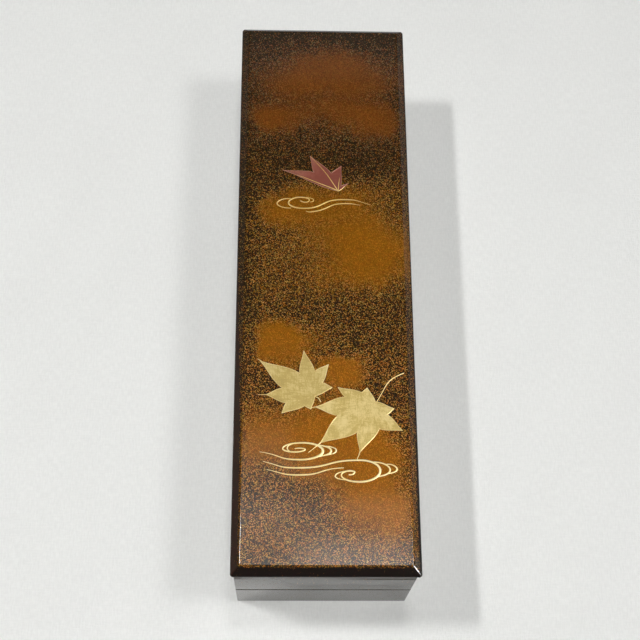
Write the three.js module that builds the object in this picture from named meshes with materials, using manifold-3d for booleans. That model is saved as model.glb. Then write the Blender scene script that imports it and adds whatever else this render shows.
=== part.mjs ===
// A long lacquered writing box: a lift-off lid with a bevelled top panel, a base with a rising
// inner lip, and a lift-out tray that carries an inkstone, a water dropper, an ink stick and two
// brushes. Millimetres, +Z up. The origin is the centre of the underside. The box is long in Y,
// and its near end, the one towards a person who writes at it, is at -Y.

import * as THREE from 'three';
import { mergeVertices } from 'three/addons/utils/BufferGeometryUtils.js';
import Module from 'manifold-3d';

// Outside of the box
const TOP_WIDTH = 80; // top panel, across its rounded lip
const TOP_LENGTH = 272;
const TOP_OVERHANG = 1.2; // of the top panel past the walls, on each side
const TOP_CORNER_RADIUS = 2;
const BEVEL_WIDTH = 3.7;
const BEVEL_HEIGHT = 4.1;
const EDGE_BAND = 1.4; // upright edge of the top panel, under the bevel
const EDGE_BAND_ROUND = 0.9; // rounding of that edge's lower corner
const BEVEL_EASE = 0.7; // rounding where the bevel meets the top and the edge
const LID_WALL_HEIGHT = 34;
const BASE_HEIGHT = 28.5; // the seam lies at this height
const WALL_CORNER_RADIUS = 1.6; // standing edges of the walls
const SEAM_EASE = 0.45; // rounding along the seam and the foot

// Boards of the box
const BASE_WALL = 5;
const BASE_BOARD = 4.5;
const LIP_THICKNESS = 2.6;
const LIP_RISE = 9; // of the inner lip over the seam
const LIP_EASE = 0.9;
const LID_CLEARANCE = 0.4; // between the lip and the inside of the lid

// Tray
const TRAY_CLEARANCE = 0.5; // between the tray and the lip
const TRAY_WALL = 3;
const TRAY_BOARD = 3;
const TRAY_DROP = 3.5; // of the tray's rim under the seam
const TRAY_EASE = 0.8;
const DIVIDER = 2.4; // thickness of the boards that part the tray
const DIVIDER_DROP = 2; // of the dividers under the tray's rim
const DIVIDER_EASE = 0.6;
const SCOOP_WIDTH = 22; // finger scoops in the tray's end walls
const SCOOP_DEPTH = 7;
const TOOL_CLEARANCE = 0.5; // between a tool and the sides of its bay

// Inkstone
const STONE_LENGTH = 98;
const STONE_HEIGHT = 13;
const STONE_RIM = 3; // width of the rim around the hollow
const STONE_CORNER_RADIUS = 2.5;
const STONE_EASE = 0.7;
const LAND_DEPTH = 1.2; // of the grinding face, at its near end
const LAND_FALL = 0.8; // by which the grinding face drops before the slope
const SEA_DEPTH = 6.2; // of the well that holds the ink
const SEA_LENGTH = 22;
const SLOPE_LENGTH = 20;
const HOLLOW_CORNER_RADIUS = 8;
const HOLLOW_SIDE = 2.6; // how far the hollow's sides lean in

// Water dropper
const DROPPER_LENGTH = 34;
const DROPPER_HEIGHT = 12.5; // of the cup, without its top plate
const DROPPER_WALL = 1.3;
const DROPPER_CORNER_RADIUS = 5;
const DROPPER_PLATE = 1.2;
const DROPPER_EASE = 0.4;
const SPOUT_HEIGHT = 2.6;
const SPOUT_FOOT_RADIUS = 3.6;
const SPOUT_MOUTH_RADIUS = 2.5;
const POUR_HOLE_RADIUS = 1.2;
const AIR_HOLE_RADIUS = 1;
const HOLE_INSET = 8.5; // of both holes' centres from the dropper's sides

// Ink stick
const STICK_WIDTH = 16;
const STICK_HEIGHT = 8.5;
const STICK_ROOM = 13; // left free in its bay beyond each end, for the fingers
const STICK_EASE = 1;
const STICK_FRAME = 1.8; // raised border around its sunk panel
const STICK_PANEL_DEPTH = 0.6;

// Brushes
const HANDLE_RADIUS = 3.3;
const HANDLE_BUTT_RADIUS = 2.7;
const HANDLE_KNOT = 0.35; // swelling of the bamboo at a knot
const KNOT_SPACING = 58;
const FERRULE_RADIUS = 3.8;
const FERRULE_LENGTH = 13;
const FERRULE_WALL = 0.9;
const FERRULE_WEB = 1.6; // between the handle's socket and the hair's
const FERRULE_SOCKET = 7; // depth of the handle's socket
const GLUE_GAP = 0.2;
const TIP_LENGTH = 31; // hair that shows beyond the ferrule
const TIP_BELLY_RADIUS = 3.5;
const BRUSH_GAP = 0.8; // between a brush and its neighbours
const BRUSH_ROOM = 14; // left free in the channel beyond each end
const REST_HEIGHT = 7;
const REST_THICKNESS = 7;
const REST_FROM_BUTT = 42; // centre of the near rest, from the brushes' butts
const REST_FROM_FERRULE = 16; // centre of the far rest, from the back of the ferrules
const REST_CLEARANCE = 0.3; // between a handle and its groove
const GROOVE_RISE = 0.9; // of a brush's axis over the rests

// Finish
const COLOURS = {
  sprinkledLacquer: { color: 0x3a2310, roughness: 0.22, metalness: 0.05 },
  blackLacquer: { color: 0x14100e, roughness: 0.25, metalness: 0 },
  stone: { color: 0x2b2d30, roughness: 0.6, metalness: 0 },
  copper: { color: 0x6f4a31, roughness: 0.35, metalness: 0.9 },
  ink: { color: 0x101012, roughness: 0.5, metalness: 0 },
  bamboo: { color: 0xb48a4e, roughness: 0.5, metalness: 0 },
  horn: { color: 0x1c1512, roughness: 0.3, metalness: 0 },
  hair: { color: 0xc9b28c, roughness: 0.9, metalness: 0 },
};

// Sizes that follow from those above
const WALLS_HALF_WIDTH = TOP_WIDTH / 2 - TOP_OVERHANG;
const WALLS_HALF_LENGTH = TOP_LENGTH / 2 - TOP_OVERHANG;
const TOP_THICKNESS = EDGE_BAND + BEVEL_HEIGHT;
const LID_WALL = BASE_WALL - LID_CLEARANCE;
const BASE_INNER_HALF_WIDTH = WALLS_HALF_WIDTH - BASE_WALL;
const BASE_INNER_HALF_LENGTH = WALLS_HALF_LENGTH - BASE_WALL;
const TRAY_HALF_WIDTH = BASE_INNER_HALF_WIDTH - LIP_THICKNESS - TRAY_CLEARANCE;
const TRAY_HALF_LENGTH = BASE_INNER_HALF_LENGTH - LIP_THICKNESS - TRAY_CLEARANCE;
const TRAY_HEIGHT = BASE_HEIGHT - BASE_BOARD - TRAY_DROP;
const TRAY_INNER_HALF_WIDTH = TRAY_HALF_WIDTH - TRAY_WALL;
const TRAY_INNER_HALF_LENGTH = TRAY_HALF_LENGTH - TRAY_WALL;
const DIVIDER_HEIGHT = TRAY_HEIGHT - TRAY_BOARD - DIVIDER_DROP;

const BRUSH_SPACING = 2 * FERRULE_RADIUS + BRUSH_GAP;
const CHANNEL_WIDTH = BRUSH_SPACING + 2 * (FERRULE_RADIUS + BRUSH_GAP);
const CHANNEL_CENTRE_X = TRAY_INNER_HALF_WIDTH - CHANNEL_WIDTH / 2;
const LONG_DIVIDER_X = TRAY_INNER_HALF_WIDTH - CHANNEL_WIDTH - DIVIDER / 2;
const BAY_WIDTH = 2 * TRAY_INNER_HALF_WIDTH - CHANNEL_WIDTH - DIVIDER;
const BAY_CENTRE_X = -TRAY_INNER_HALF_WIDTH + BAY_WIDTH / 2;
const TOOL_WIDTH = BAY_WIDTH - 2 * TOOL_CLEARANCE;
const STONE_BAY_END = -TRAY_INNER_HALF_LENGTH + STONE_LENGTH + 2 * TOOL_CLEARANCE;
const DROPPER_BAY_START = STONE_BAY_END + DIVIDER;
const DROPPER_BAY_END = DROPPER_BAY_START + DROPPER_LENGTH + 2 * TOOL_CLEARANCE;
const STICK_BAY_START = DROPPER_BAY_END + DIVIDER;

const AXIS_HEIGHT = REST_HEIGHT + GROOVE_RISE; // of the brushes, over the tray's board
const BRUSH_LENGTH = 2 * (TRAY_INNER_HALF_LENGTH - BRUSH_ROOM);
const FERRULE_START = BRUSH_LENGTH - TIP_LENGTH - FERRULE_LENGTH; // from the butt
const BRUSH_BUTT_Y = -BRUSH_LENGTH / 2;

const wasm = await Module();
wasm.setup();

const materials = Object.fromEntries(
  Object.entries(COLOURS).map(([name, look]) => [name, new THREE.MeshStandardMaterial(look)]),
);

/** Turns triangles of points into a closed geometry, without the slivers of merged points. */
function closedGeometry(triangles) {
  const soup = new THREE.BufferGeometry();
  soup.setAttribute('position', new THREE.Float32BufferAttribute(triangles.flat(2), 3));
  const merged = mergeVertices(soup);
  const index = Array.from(merged.index.array);
  const kept = [];
  for (let i = 0; i < index.length; i += 3) {
    const [a, b, c] = index.slice(i, i + 3);
    if (a !== b && b !== c && c !== a) kept.push(a, b, c);
  }
  merged.setIndex(kept);
  return facingOut(merged);
}

/** Reverses every triangle of a closed geometry if its faces point inwards. */
function facingOut(geometry) {
  const place = geometry.attributes.position;
  const index = geometry.index.array;
  const corners = [new THREE.Vector3(), new THREE.Vector3(), new THREE.Vector3()];
  let volume = 0;
  for (let i = 0; i < index.length; i += 3) {
    corners.forEach((corner, k) => corner.fromBufferAttribute(place, index[i + k]));
    volume += corners[0].dot(corners[1].cross(corners[2]));
  }
  if (volume < 0) geometry.setIndex(Array.from(index).reverse());
  geometry.computeVertexNormals();
  return geometry;
}

/**
 * Closed solid through rings of points, each ring with as many points as the others. The first
 * and last rings are flat and are capped; flatten says how a cap's points become 2-D points.
 */
function loft(rings, flatten) {
  const triangles = [];
  for (let k = 0; k + 1 < rings.length; k += 1) {
    const [low, high] = [rings[k], rings[k + 1]];
    low.forEach((point, i) => {
      const j = (i + 1) % low.length;
      triangles.push([point, low[j], high[j]], [point, high[j], high[i]]);
    });
  }
  const cap = (ring, forward) => {
    const outline = ring.map((point) => new THREE.Vector2(...flatten(point)));
    const windsBack = THREE.ShapeUtils.isClockWise(outline);
    THREE.ShapeUtils.triangulateShape(outline, []).forEach(([a, b, c]) => {
      const face = [ring[a], ring[b], ring[c]];
      triangles.push(windsBack === forward ? face.reverse() : face);
    });
  };
  cap(rings[0], false);
  cap(rings[rings.length - 1], true);
  return closedGeometry(triangles);
}

/** Points of a plan outline: a rectangle of the given half sizes with rounded corners. */
function roundedRectangle(halfX, halfY, radius, steps = 5) {
  const points = [];
  const corners = [[1, 1, 0], [-1, 1, 1], [-1, -1, 2], [1, -1, 3]];
  for (const [signX, signY, quarter] of corners) {
    for (let k = 0; k <= steps; k += 1) {
      const angle = (quarter + k / steps) * (Math.PI / 2);
      const x = signX * (halfX - radius) + radius * Math.cos(angle);
      const y = signY * (halfY - radius) + radius * Math.sin(angle);
      points.push([x, y]);
    }
  }
  return points;
}

/** A block with a rounded plan, stacked from [inset, height] pairs that run up its edge. */
function stackedBlock(halfX, halfY, radius, edge, steps = 5) {
  const leastRadius = 0.25; // keeps a corner round where it is inset past its radius
  const rings = edge.map(([inset, height]) => {
    const cornerRadius = Math.max(radius - inset, leastRadius);
    const outline = roundedRectangle(halfX - inset, halfY - inset, cornerRadius, steps);
    return outline.map(([x, y]) => [x, y, height]);
  });
  return loft(rings, ([x, y]) => [x, y]);
}

/** Rounds the chosen corners of a profile, reaching back by their ease along both sides. */
function easedProfile(corners, closed, steps = 3) {
  const count = corners.length;
  const points = [];
  corners.forEach(([x, y, ease = 0], i) => {
    const isEnd = !closed && (i === 0 || i === count - 1);
    if (ease === 0 || isEnd) {
      points.push([x, y]);
      return;
    }
    const corner = new THREE.Vector2(x, y);
    const before = new THREE.Vector2(...corners[(i + count - 1) % count].slice(0, 2));
    const after = new THREE.Vector2(...corners[(i + 1) % count].slice(0, 2));
    const reach = Math.min(ease, corner.distanceTo(before) / 2.1, corner.distanceTo(after) / 2.1);
    const start = corner.clone().add(before.sub(corner).setLength(reach));
    const end = corner.clone().add(after.sub(corner).setLength(reach));
    const curve = new THREE.QuadraticBezierCurve(start, corner, end);
    curve.getPoints(steps).forEach((point) => points.push([point.x, point.y]));
  });
  return points;
}

/**
 * One board of a mitred frame, on the frame's +X side. The profile is a closed list of
 * [depth from the outer face, height]; the standing corners are rounded by the radius.
 */
function mitredBoard(halfX, halfY, radius, profile, steps = 3) {
  const station = (sign, angle) => profile.map(([depth, height]) => {
    const rounding = Math.max(radius - depth, 0);
    const x = halfX - depth - rounding + rounding * Math.cos(angle);
    const y = halfY - depth - rounding + rounding * Math.sin(angle);
    return [x, sign * y, height];
  });
  const angles = Array.from({ length: steps + 1 }, (_, k) => (k / steps) * (Math.PI / 4));
  const nearEnd = angles.map((angle) => station(-1, angle)).reverse();
  const farEnd = angles.map((angle) => station(1, angle));
  return loft([...nearEnd, ...farEnd], ([, y, z]) => [Math.abs(y), z]);
}

/** Four mitred boards round a rectangle; the finish of an end board can be cut by a function. */
function mitredFrame(names, halfX, halfY, radius, profile, material, cutEnd = (shape) => shape) {
  const frame = new THREE.Group();
  const long = mitredBoard(halfX, halfY, radius, profile);
  const short = cutEnd(mitredBoard(halfY, halfX, radius, profile));
  const sides = [[long, 0], [long, Math.PI], [short, -Math.PI / 2], [short, Math.PI / 2]];
  sides.forEach(([geometry, turn], i) => {
    const board = part(names[i], geometry, material);
    board.rotation.z = turn;
    frame.add(board);
  });
  return frame;
}

/** Solid for joining and cutting, from any closed geometry. */
function solidOf(geometry) {
  const bare = geometry.clone();
  bare.deleteAttribute('normal');
  bare.deleteAttribute('uv');
  const merged = mergeVertices(bare);
  const mesh = new wasm.Mesh({
    numProp: 3,
    vertProperties: new Float32Array(merged.attributes.position.array),
    triVerts: new Uint32Array(merged.index.array),
  });
  return new wasm.Manifold(mesh);
}

/** Geometry of a joined or cut solid. */
function geometryOf(solid) {
  const { vertProperties, triVerts } = solid.getMesh();
  const geometry = new THREE.BufferGeometry();
  geometry.setAttribute('position', new THREE.Float32BufferAttribute(vertProperties, 3));
  geometry.setIndex(Array.from(triVerts));
  geometry.computeVertexNormals();
  return geometry;
}

/** Geometry of a body less the cutters. */
function cutFrom(body, ...cutters) {
  return geometryOf(cutters.reduce((rest, cutter) => rest.subtract(solidOf(cutter)), solidOf(body)));
}

/** A named mesh. */
function part(name, geometry, material) {
  const mesh = new THREE.Mesh(geometry, material);
  mesh.name = name;
  return mesh;
}

/** Moves a mesh or group and returns it. */
function placed(object, x, y, z) {
  object.position.set(x, y, z);
  return object;
}

/** A rod or cup turned about the Y axis from [radius, y] pairs. */
function turned(profile, segments = 18) {
  const points = profile.map(([radius, y]) => new THREE.Vector2(radius, y));
  return solidGeometry(new THREE.LatheGeometry(points, segments));
}

/** Merges a library geometry's doubled points, which closes its seam and its poles. */
function solidGeometry(geometry) {
  const flat = geometry.index ? geometry.toNonIndexed() : geometry;
  const place = flat.attributes.position;
  const triangles = [];
  for (let i = 0; i < place.count; i += 3) {
    triangles.push([0, 1, 2].map((k) => [place.getX(i + k), place.getY(i + k), place.getZ(i + k)]));
  }
  return closedGeometry(triangles);
}

/** The two names of a pair of long boards and the two of the end boards, in frame order. */
function frameNames(stem) {
  return [`${stem}_right`, `${stem}_left`, `${stem}_near`, `${stem}_far`];
}

/** Top panel: a rounded lip, an upright edge and a bevel up to the flat top. */
function lidTopPanel() {
  const lipRound = Math.min(EDGE_BAND_ROUND, TOP_OVERHANG, EDGE_BAND);
  const edge = easedProfile([
    [lipRound, 0],
    [0, 0, lipRound],
    [0, EDGE_BAND, BEVEL_EASE],
    [BEVEL_WIDTH, TOP_THICKNESS, BEVEL_EASE],
    [BEVEL_WIDTH + 2 * BEVEL_EASE, TOP_THICKNESS],
  ], false);
  return stackedBlock(TOP_WIDTH / 2, TOP_LENGTH / 2, TOP_CORNER_RADIUS, edge);
}

/** Lid: the top panel on four mitred walls, which are thinner than the base's to clear the lip. */
function makeLid() {
  const lid = new THREE.Group();
  const wallProfile = easedProfile([
    [0, 0, SEAM_EASE],
    [0, LID_WALL_HEIGHT],
    [LID_WALL, LID_WALL_HEIGHT],
    [LID_WALL, 0, LIP_EASE],
  ], true);
  const walls = mitredFrame(
    frameNames('lid_wall'),
    WALLS_HALF_WIDTH,
    WALLS_HALF_LENGTH,
    WALL_CORNER_RADIUS,
    wallProfile,
    materials.sprinkledLacquer,
  );
  const panel = part('lid_top_panel', lidTopPanel(), materials.sprinkledLacquer);
  lid.add(walls, placed(panel, 0, 0, LID_WALL_HEIGHT));
  return lid;
}

/** Base: four mitred walls round a board, with the lip that rises inside them past the seam. */
function makeBase() {
  const base = new THREE.Group();
  const wallProfile = easedProfile([
    [0, 0, SEAM_EASE],
    [0, BASE_HEIGHT, SEAM_EASE],
    [BASE_WALL, BASE_HEIGHT],
    [BASE_WALL, 0],
  ], true);
  const lipProfile = easedProfile([
    [0, BASE_BOARD],
    [0, BASE_HEIGHT + LIP_RISE, LIP_EASE],
    [LIP_THICKNESS, BASE_HEIGHT + LIP_RISE, LIP_EASE],
    [LIP_THICKNESS, BASE_BOARD],
  ], true);
  const walls = mitredFrame(
    frameNames('base_wall'),
    WALLS_HALF_WIDTH,
    WALLS_HALF_LENGTH,
    WALL_CORNER_RADIUS,
    wallProfile,
    materials.sprinkledLacquer,
  );
  const lip = mitredFrame(
    frameNames('lip'),
    BASE_INNER_HALF_WIDTH,
    BASE_INNER_HALF_LENGTH,
    0,
    lipProfile,
    materials.blackLacquer,
  );
  const boardShape = new THREE.BoxGeometry(
    2 * BASE_INNER_HALF_WIDTH,
    2 * BASE_INNER_HALF_LENGTH,
    BASE_BOARD,
  );
  const board = part('base_board', boardShape, materials.blackLacquer);
  base.add(walls, lip, placed(board, 0, 0, BASE_BOARD / 2));
  return base;
}

/** Cuts the finger scoop into the middle of an end wall that stands on the frame's +X side. */
function withScoop(endWall) {
  const reach = 4 * TRAY_WALL;
  const scoop = new THREE.CylinderGeometry(SCOOP_WIDTH / 2, SCOOP_WIDTH / 2, reach, 28);
  scoop.rotateZ(Math.PI / 2);
  scoop.scale(1, 1, SCOOP_DEPTH / (SCOOP_WIDTH / 2));
  scoop.translate(TRAY_HALF_LENGTH, 0, TRAY_HEIGHT);
  return cutFrom(endWall, scoop);
}

/** A divider: a standing board with an eased top, across X or along Y. */
function divider(length, alongY) {
  const section = easedProfile([
    [-DIVIDER / 2, 0],
    [DIVIDER / 2, 0],
    [DIVIDER / 2, DIVIDER_HEIGHT, DIVIDER_EASE],
    [-DIVIDER / 2, DIVIDER_HEIGHT, DIVIDER_EASE],
  ], true);
  const ends = [-length / 2, length / 2];
  const rings = ends.map((end) => section.map(([across, z]) => (
    alongY ? [across, end, z] : [end, across, z]
  )));
  return loft(rings, alongY ? ([x, , z]) => [x, z] : ([, y, z]) => [y, z]);
}

/** A brush rest: a block across the channel with one round groove for each brush. */
function brushRest() {
  const radius = HANDLE_RADIUS + REST_CLEARANCE;
  const halfMouth = Math.sqrt(radius ** 2 - GROOVE_RISE ** 2);
  const sink = Math.asin(GROOVE_RISE / radius);
  const outline = new THREE.Shape();
  outline.moveTo(-CHANNEL_WIDTH / 2, 0);
  outline.lineTo(CHANNEL_WIDTH / 2, 0);
  outline.lineTo(CHANNEL_WIDTH / 2, REST_HEIGHT);
  for (const centre of [BRUSH_SPACING / 2, -BRUSH_SPACING / 2]) {
    outline.lineTo(centre + halfMouth, REST_HEIGHT);
    outline.absarc(centre, AXIS_HEIGHT, radius, -sink, -Math.PI + sink, true);
  }
  outline.lineTo(-CHANNEL_WIDTH / 2, REST_HEIGHT);
  outline.closePath();
  const rest = new THREE.ExtrudeGeometry(outline, {
    depth: REST_THICKNESS,
    bevelEnabled: false,
    curveSegments: 8,
  });
  rest.rotateX(Math.PI / 2);
  rest.translate(0, REST_THICKNESS / 2, 0);
  return solidGeometry(rest);
}

/** Tray: a walled board parted into three bays and a channel for the brushes. */
function makeTray() {
  const tray = new THREE.Group();
  const wallProfile = easedProfile([
    [0, 0],
    [0, TRAY_HEIGHT, TRAY_EASE],
    [TRAY_WALL, TRAY_HEIGHT, TRAY_EASE],
    [TRAY_WALL, 0],
  ], true);
  const walls = mitredFrame(
    frameNames('tray_wall'),
    TRAY_HALF_WIDTH,
    TRAY_HALF_LENGTH,
    0,
    wallProfile,
    materials.blackLacquer,
    withScoop,
  );
  const boardShape = new THREE.BoxGeometry(
    2 * TRAY_INNER_HALF_WIDTH,
    2 * TRAY_INNER_HALF_LENGTH,
    TRAY_BOARD,
  );
  const board = part('tray_board', boardShape, materials.blackLacquer);
  tray.add(walls, placed(board, 0, 0, TRAY_BOARD / 2));

  const longShape = divider(2 * TRAY_INNER_HALF_LENGTH, true);
  const longDivider = part('tray_divider_long', longShape, materials.blackLacquer);
  tray.add(placed(longDivider, LONG_DIVIDER_X, 0, TRAY_BOARD));
  const crossDividers = { stone: STONE_BAY_END, dropper: DROPPER_BAY_END };
  for (const [bay, end] of Object.entries(crossDividers)) {
    const cross = part(`tray_divider_${bay}`, divider(BAY_WIDTH, false), materials.blackLacquer);
    tray.add(placed(cross, BAY_CENTRE_X, end + DIVIDER / 2, TRAY_BOARD));
  }
  const rests = { near: REST_FROM_BUTT, far: FERRULE_START - REST_FROM_FERRULE };
  for (const [end, fromButt] of Object.entries(rests)) {
    const rest = part(`brush_rest_${end}`, brushRest(), materials.blackLacquer);
    tray.add(placed(rest, CHANNEL_CENTRE_X, BRUSH_BUTT_Y + fromButt, TRAY_BOARD));
  }
  return tray;
}

/** Depth of the inkstone's hollow, from its near end at 0 to its far end at length. */
function hollowDepth(along, length) {
  const seaStart = length - SEA_LENGTH;
  const slopeStart = seaStart - SLOPE_LENGTH;
  const land = LAND_DEPTH + LAND_FALL * Math.min(along / slopeStart, 1);
  const slope = THREE.MathUtils.smoothstep(along, slopeStart, seaStart);
  const floor = THREE.MathUtils.lerp(land, SEA_DEPTH, slope);
  const fromEnd = Math.min(along, length - along);
  return floor * Math.max(THREE.MathUtils.smoothstep(fromEnd, -HOLLOW_SIDE, HOLLOW_SIDE), 0.1);
}

/** Cutter for the hollow: cross-sections along Y, round in plan at both ends. */
function hollowCutter() {
  const length = STONE_LENGTH - 2 * STONE_RIM;
  const halfWidth = TOOL_WIDTH / 2 - STONE_RIM;
  const clearOfTop = 1;
  const round = Math.min(HOLLOW_CORNER_RADIUS, halfWidth - HOLLOW_SIDE);
  const quarter = [0, 0.04, 0.15, 0.34, 0.62, 1].map((share) => share * round);
  const slopeStart = length - SEA_LENGTH - SLOPE_LENGTH;
  const slope = [0, 0.2, 0.35, 0.5, 0.65, 0.8, 1].map((share) => slopeStart + share * SLOPE_LENGTH);
  const stops = [...quarter, ...slope, ...quarter.map((step) => length - step).reverse()];
  const rings = stops.map((along) => {
    const intoCorner = Math.max(round - Math.min(along, length - along), 0);
    const half = halfWidth - round + Math.sqrt(round ** 2 - intoCorner ** 2);
    const depth = hollowDepth(along, length);
    const side = [
      [half, clearOfTop],
      [half, 0],
      [half - 0.2 * HOLLOW_SIDE, -0.45 * depth],
      [half - 0.55 * HOLLOW_SIDE, -0.85 * depth],
      [half - HOLLOW_SIDE, -depth],
    ].map(([x, z]) => [Math.max(x, 0.2), z]);
    const otherSide = side.map(([x, z]) => [-x, z]).reverse();
    return [...side, ...otherSide].map(([x, z]) => [x, along - length / 2, STONE_HEIGHT + z]);
  });
  return loft(rings, ([x, , z]) => [x, z]);
}

/** Inkstone: a block whose grinding face slopes into a well at the far end. */
function inkstone() {
  const edge = easedProfile([
    [STONE_EASE, 0],
    [0, 0, STONE_EASE],
    [0, STONE_HEIGHT, STONE_EASE],
    [2 * STONE_EASE, STONE_HEIGHT],
  ], false, 2);
  const block = stackedBlock(TOOL_WIDTH / 2, STONE_LENGTH / 2, STONE_CORNER_RADIUS, edge, 4);
  return part('inkstone', cutFrom(block, hollowCutter()), materials.stone);
}

/** Water dropper: a hollow cup under a top plate with a pouring spout and an air hole. */
function waterDropper() {
  const halfX = TOOL_WIDTH / 2;
  const halfY = DROPPER_LENGTH / 2;
  const cup = stackedBlock(halfX, halfY, DROPPER_CORNER_RADIUS, [
    [DROPPER_EASE, 0],
    [0, DROPPER_EASE],
    [0, DROPPER_HEIGHT],
    [DROPPER_WALL, DROPPER_HEIGHT],
    [DROPPER_WALL, DROPPER_WALL],
  ]);
  const plate = stackedBlock(halfX, halfY, DROPPER_CORNER_RADIUS, [
    [0, 0],
    [0, DROPPER_PLATE - DROPPER_EASE],
    [DROPPER_EASE, DROPPER_PLATE],
  ]);
  const holeX = halfX - HOLE_INSET;
  const holeY = halfY - HOLE_INSET;
  const upright = (geometry, x, y, z) => geometry.rotateX(Math.PI / 2).translate(x, y, z);
  const spoutRise = DROPPER_PLATE / 2 + SPOUT_HEIGHT;
  const spout = upright(
    new THREE.CylinderGeometry(SPOUT_MOUTH_RADIUS, SPOUT_FOOT_RADIUS, spoutRise, 20),
    holeX,
    holeY,
    DROPPER_PLATE / 2 + spoutRise / 2,
  );
  const through = 4 * (DROPPER_PLATE + SPOUT_HEIGHT);
  const pourHole = upright(
    new THREE.CylinderGeometry(POUR_HOLE_RADIUS, POUR_HOLE_RADIUS, through, 12),
    holeX,
    holeY,
    0,
  );
  const airHole = upright(
    new THREE.CylinderGeometry(AIR_HOLE_RADIUS, AIR_HOLE_RADIUS, through, 12),
    -holeX,
    -holeY,
    0,
  );
  const joined = geometryOf(solidOf(plate).add(solidOf(spout)));
  const dropper = new THREE.Group();
  const top = part('dropper_top', cutFrom(joined, pourHole, airHole), materials.copper);
  dropper.add(part('dropper_cup', cup, materials.copper), placed(top, 0, 0, DROPPER_HEIGHT));
  return dropper;
}

/** Ink stick: a bar with eased edges and a sunk panel inside a raised border. */
function inkStick(length) {
  const edge = easedProfile([
    [STICK_EASE, 0],
    [0, 0, STICK_EASE],
    [0, STICK_HEIGHT, STICK_EASE],
    [STICK_FRAME, STICK_HEIGHT],
    [STICK_FRAME + STICK_PANEL_DEPTH, STICK_HEIGHT - STICK_PANEL_DEPTH],
  ], false, 2);
  const bar = stackedBlock(STICK_WIDTH / 2, length / 2, 2 * STICK_EASE, edge, 3);
  return part('ink_stick', bar, materials.ink);
}

/** Profile of the bamboo handle from its butt, with knots and a tenon for the ferrule. */
function handleProfile(length) {
  const tenonRadius = FERRULE_RADIUS - FERRULE_WALL - GLUE_GAP;
  const shoulder = length - FERRULE_SOCKET;
  const profile = [[0, 0], [HANDLE_BUTT_RADIUS - 0.6, 0], [HANDLE_BUTT_RADIUS, 0.6]];
  for (let knot = KNOT_SPACING / 2; knot < shoulder - 6; knot += KNOT_SPACING) {
    const radius = THREE.MathUtils.lerp(HANDLE_BUTT_RADIUS, HANDLE_RADIUS, knot / shoulder);
    profile.push([radius, knot - 1.6], [radius + HANDLE_KNOT, knot], [radius, knot + 0.9]);
  }
  profile.push([HANDLE_RADIUS, shoulder], [tenonRadius, shoulder], [tenonRadius, length]);
  profile.push([0, length]);
  return profile;
}

/** A brush along Y: handle, ferrule and hair, from the butt at y = 0. */
function brush(side) {
  const socketRadius = FERRULE_RADIUS - FERRULE_WALL;
  const handleLength = FERRULE_START + FERRULE_SOCKET;
  const hairStart = handleLength + FERRULE_WEB;
  const ferruleEnd = FERRULE_START + FERRULE_LENGTH;
  const rootRadius = socketRadius - GLUE_GAP;
  const ease = FERRULE_WALL / 3;
  const ferrule = turned([
    [0, handleLength],
    [socketRadius, handleLength],
    [socketRadius, FERRULE_START],
    [FERRULE_RADIUS - ease, FERRULE_START],
    [FERRULE_RADIUS, FERRULE_START + ease],
    [FERRULE_RADIUS, ferruleEnd - ease],
    [FERRULE_RADIUS - ease, ferruleEnd],
    [socketRadius, ferruleEnd],
    [socketRadius, hairStart],
    [0, hairStart],
  ]);
  const hair = turned([
    [0, hairStart],
    [rootRadius, hairStart],
    [rootRadius, ferruleEnd],
    [TIP_BELLY_RADIUS * 0.97, ferruleEnd + 0.16 * TIP_LENGTH],
    [TIP_BELLY_RADIUS, ferruleEnd + 0.32 * TIP_LENGTH],
    [TIP_BELLY_RADIUS * 0.84, ferruleEnd + 0.54 * TIP_LENGTH],
    [TIP_BELLY_RADIUS * 0.5, ferruleEnd + 0.77 * TIP_LENGTH],
    [TIP_BELLY_RADIUS * 0.2, ferruleEnd + 0.92 * TIP_LENGTH],
    [0, BRUSH_LENGTH],
  ]);
  const group = new THREE.Group();
  group.add(
    part(`brush_${side}_handle`, turned(handleProfile(handleLength)), materials.bamboo),
    part(`brush_${side}_ferrule`, ferrule, materials.horn),
    part(`brush_${side}_hair`, hair, materials.hair),
  );
  return group;
}

/** The tools, each in its own bay on the tray's board. */
function makeTools() {
  const tools = new THREE.Group();
  const stoneY = -TRAY_INNER_HALF_LENGTH + TOOL_CLEARANCE + STONE_LENGTH / 2;
  const dropperY = DROPPER_BAY_START + TOOL_CLEARANCE + DROPPER_LENGTH / 2;
  const stickY = (STICK_BAY_START + TRAY_INNER_HALF_LENGTH) / 2;
  const stickLength = TRAY_INNER_HALF_LENGTH - STICK_BAY_START - 2 * STICK_ROOM;
  tools.add(
    placed(inkstone(), BAY_CENTRE_X, stoneY, 0),
    placed(waterDropper(), BAY_CENTRE_X, dropperY, 0),
    placed(inkStick(stickLength), BAY_CENTRE_X, stickY, 0),
  );
  for (const [side, sign] of [['left', -1], ['right', 1]]) {
    const x = CHANNEL_CENTRE_X + (sign * BRUSH_SPACING) / 2;
    tools.add(placed(brush(side), x, BRUSH_BUTT_Y, AXIS_HEIGHT));
  }
  return tools;
}

const box = new THREE.Group();
const tray = makeTray();
tray.add(placed(makeTools(), 0, 0, TRAY_BOARD));
box.add(makeBase(), placed(makeLid(), 0, 0, BASE_HEIGHT), placed(tray, 0, 0, BASE_BOARD));

export default box;
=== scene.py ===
"""Looks of a long lacquered writing box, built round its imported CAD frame.

The box is long in Y, with its near end at -Y, and stands on z = 0. The top of its lid is sprinkled
with bronze powder that thickens into clouds, and carries gold maple leaves over curls of flowing
water. Lengths are metres; a plain number times MM is a length in millimetres.
"""

from __future__ import annotations

import logging
import math
from collections.abc import Callable, Mapping, Sequence
from dataclasses import dataclass, field
from enum import Enum
from typing import Union

import bmesh
import bpy
from mathutils import Matrix, Vector
from mathutils.geometry import interpolate_bezier

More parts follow.
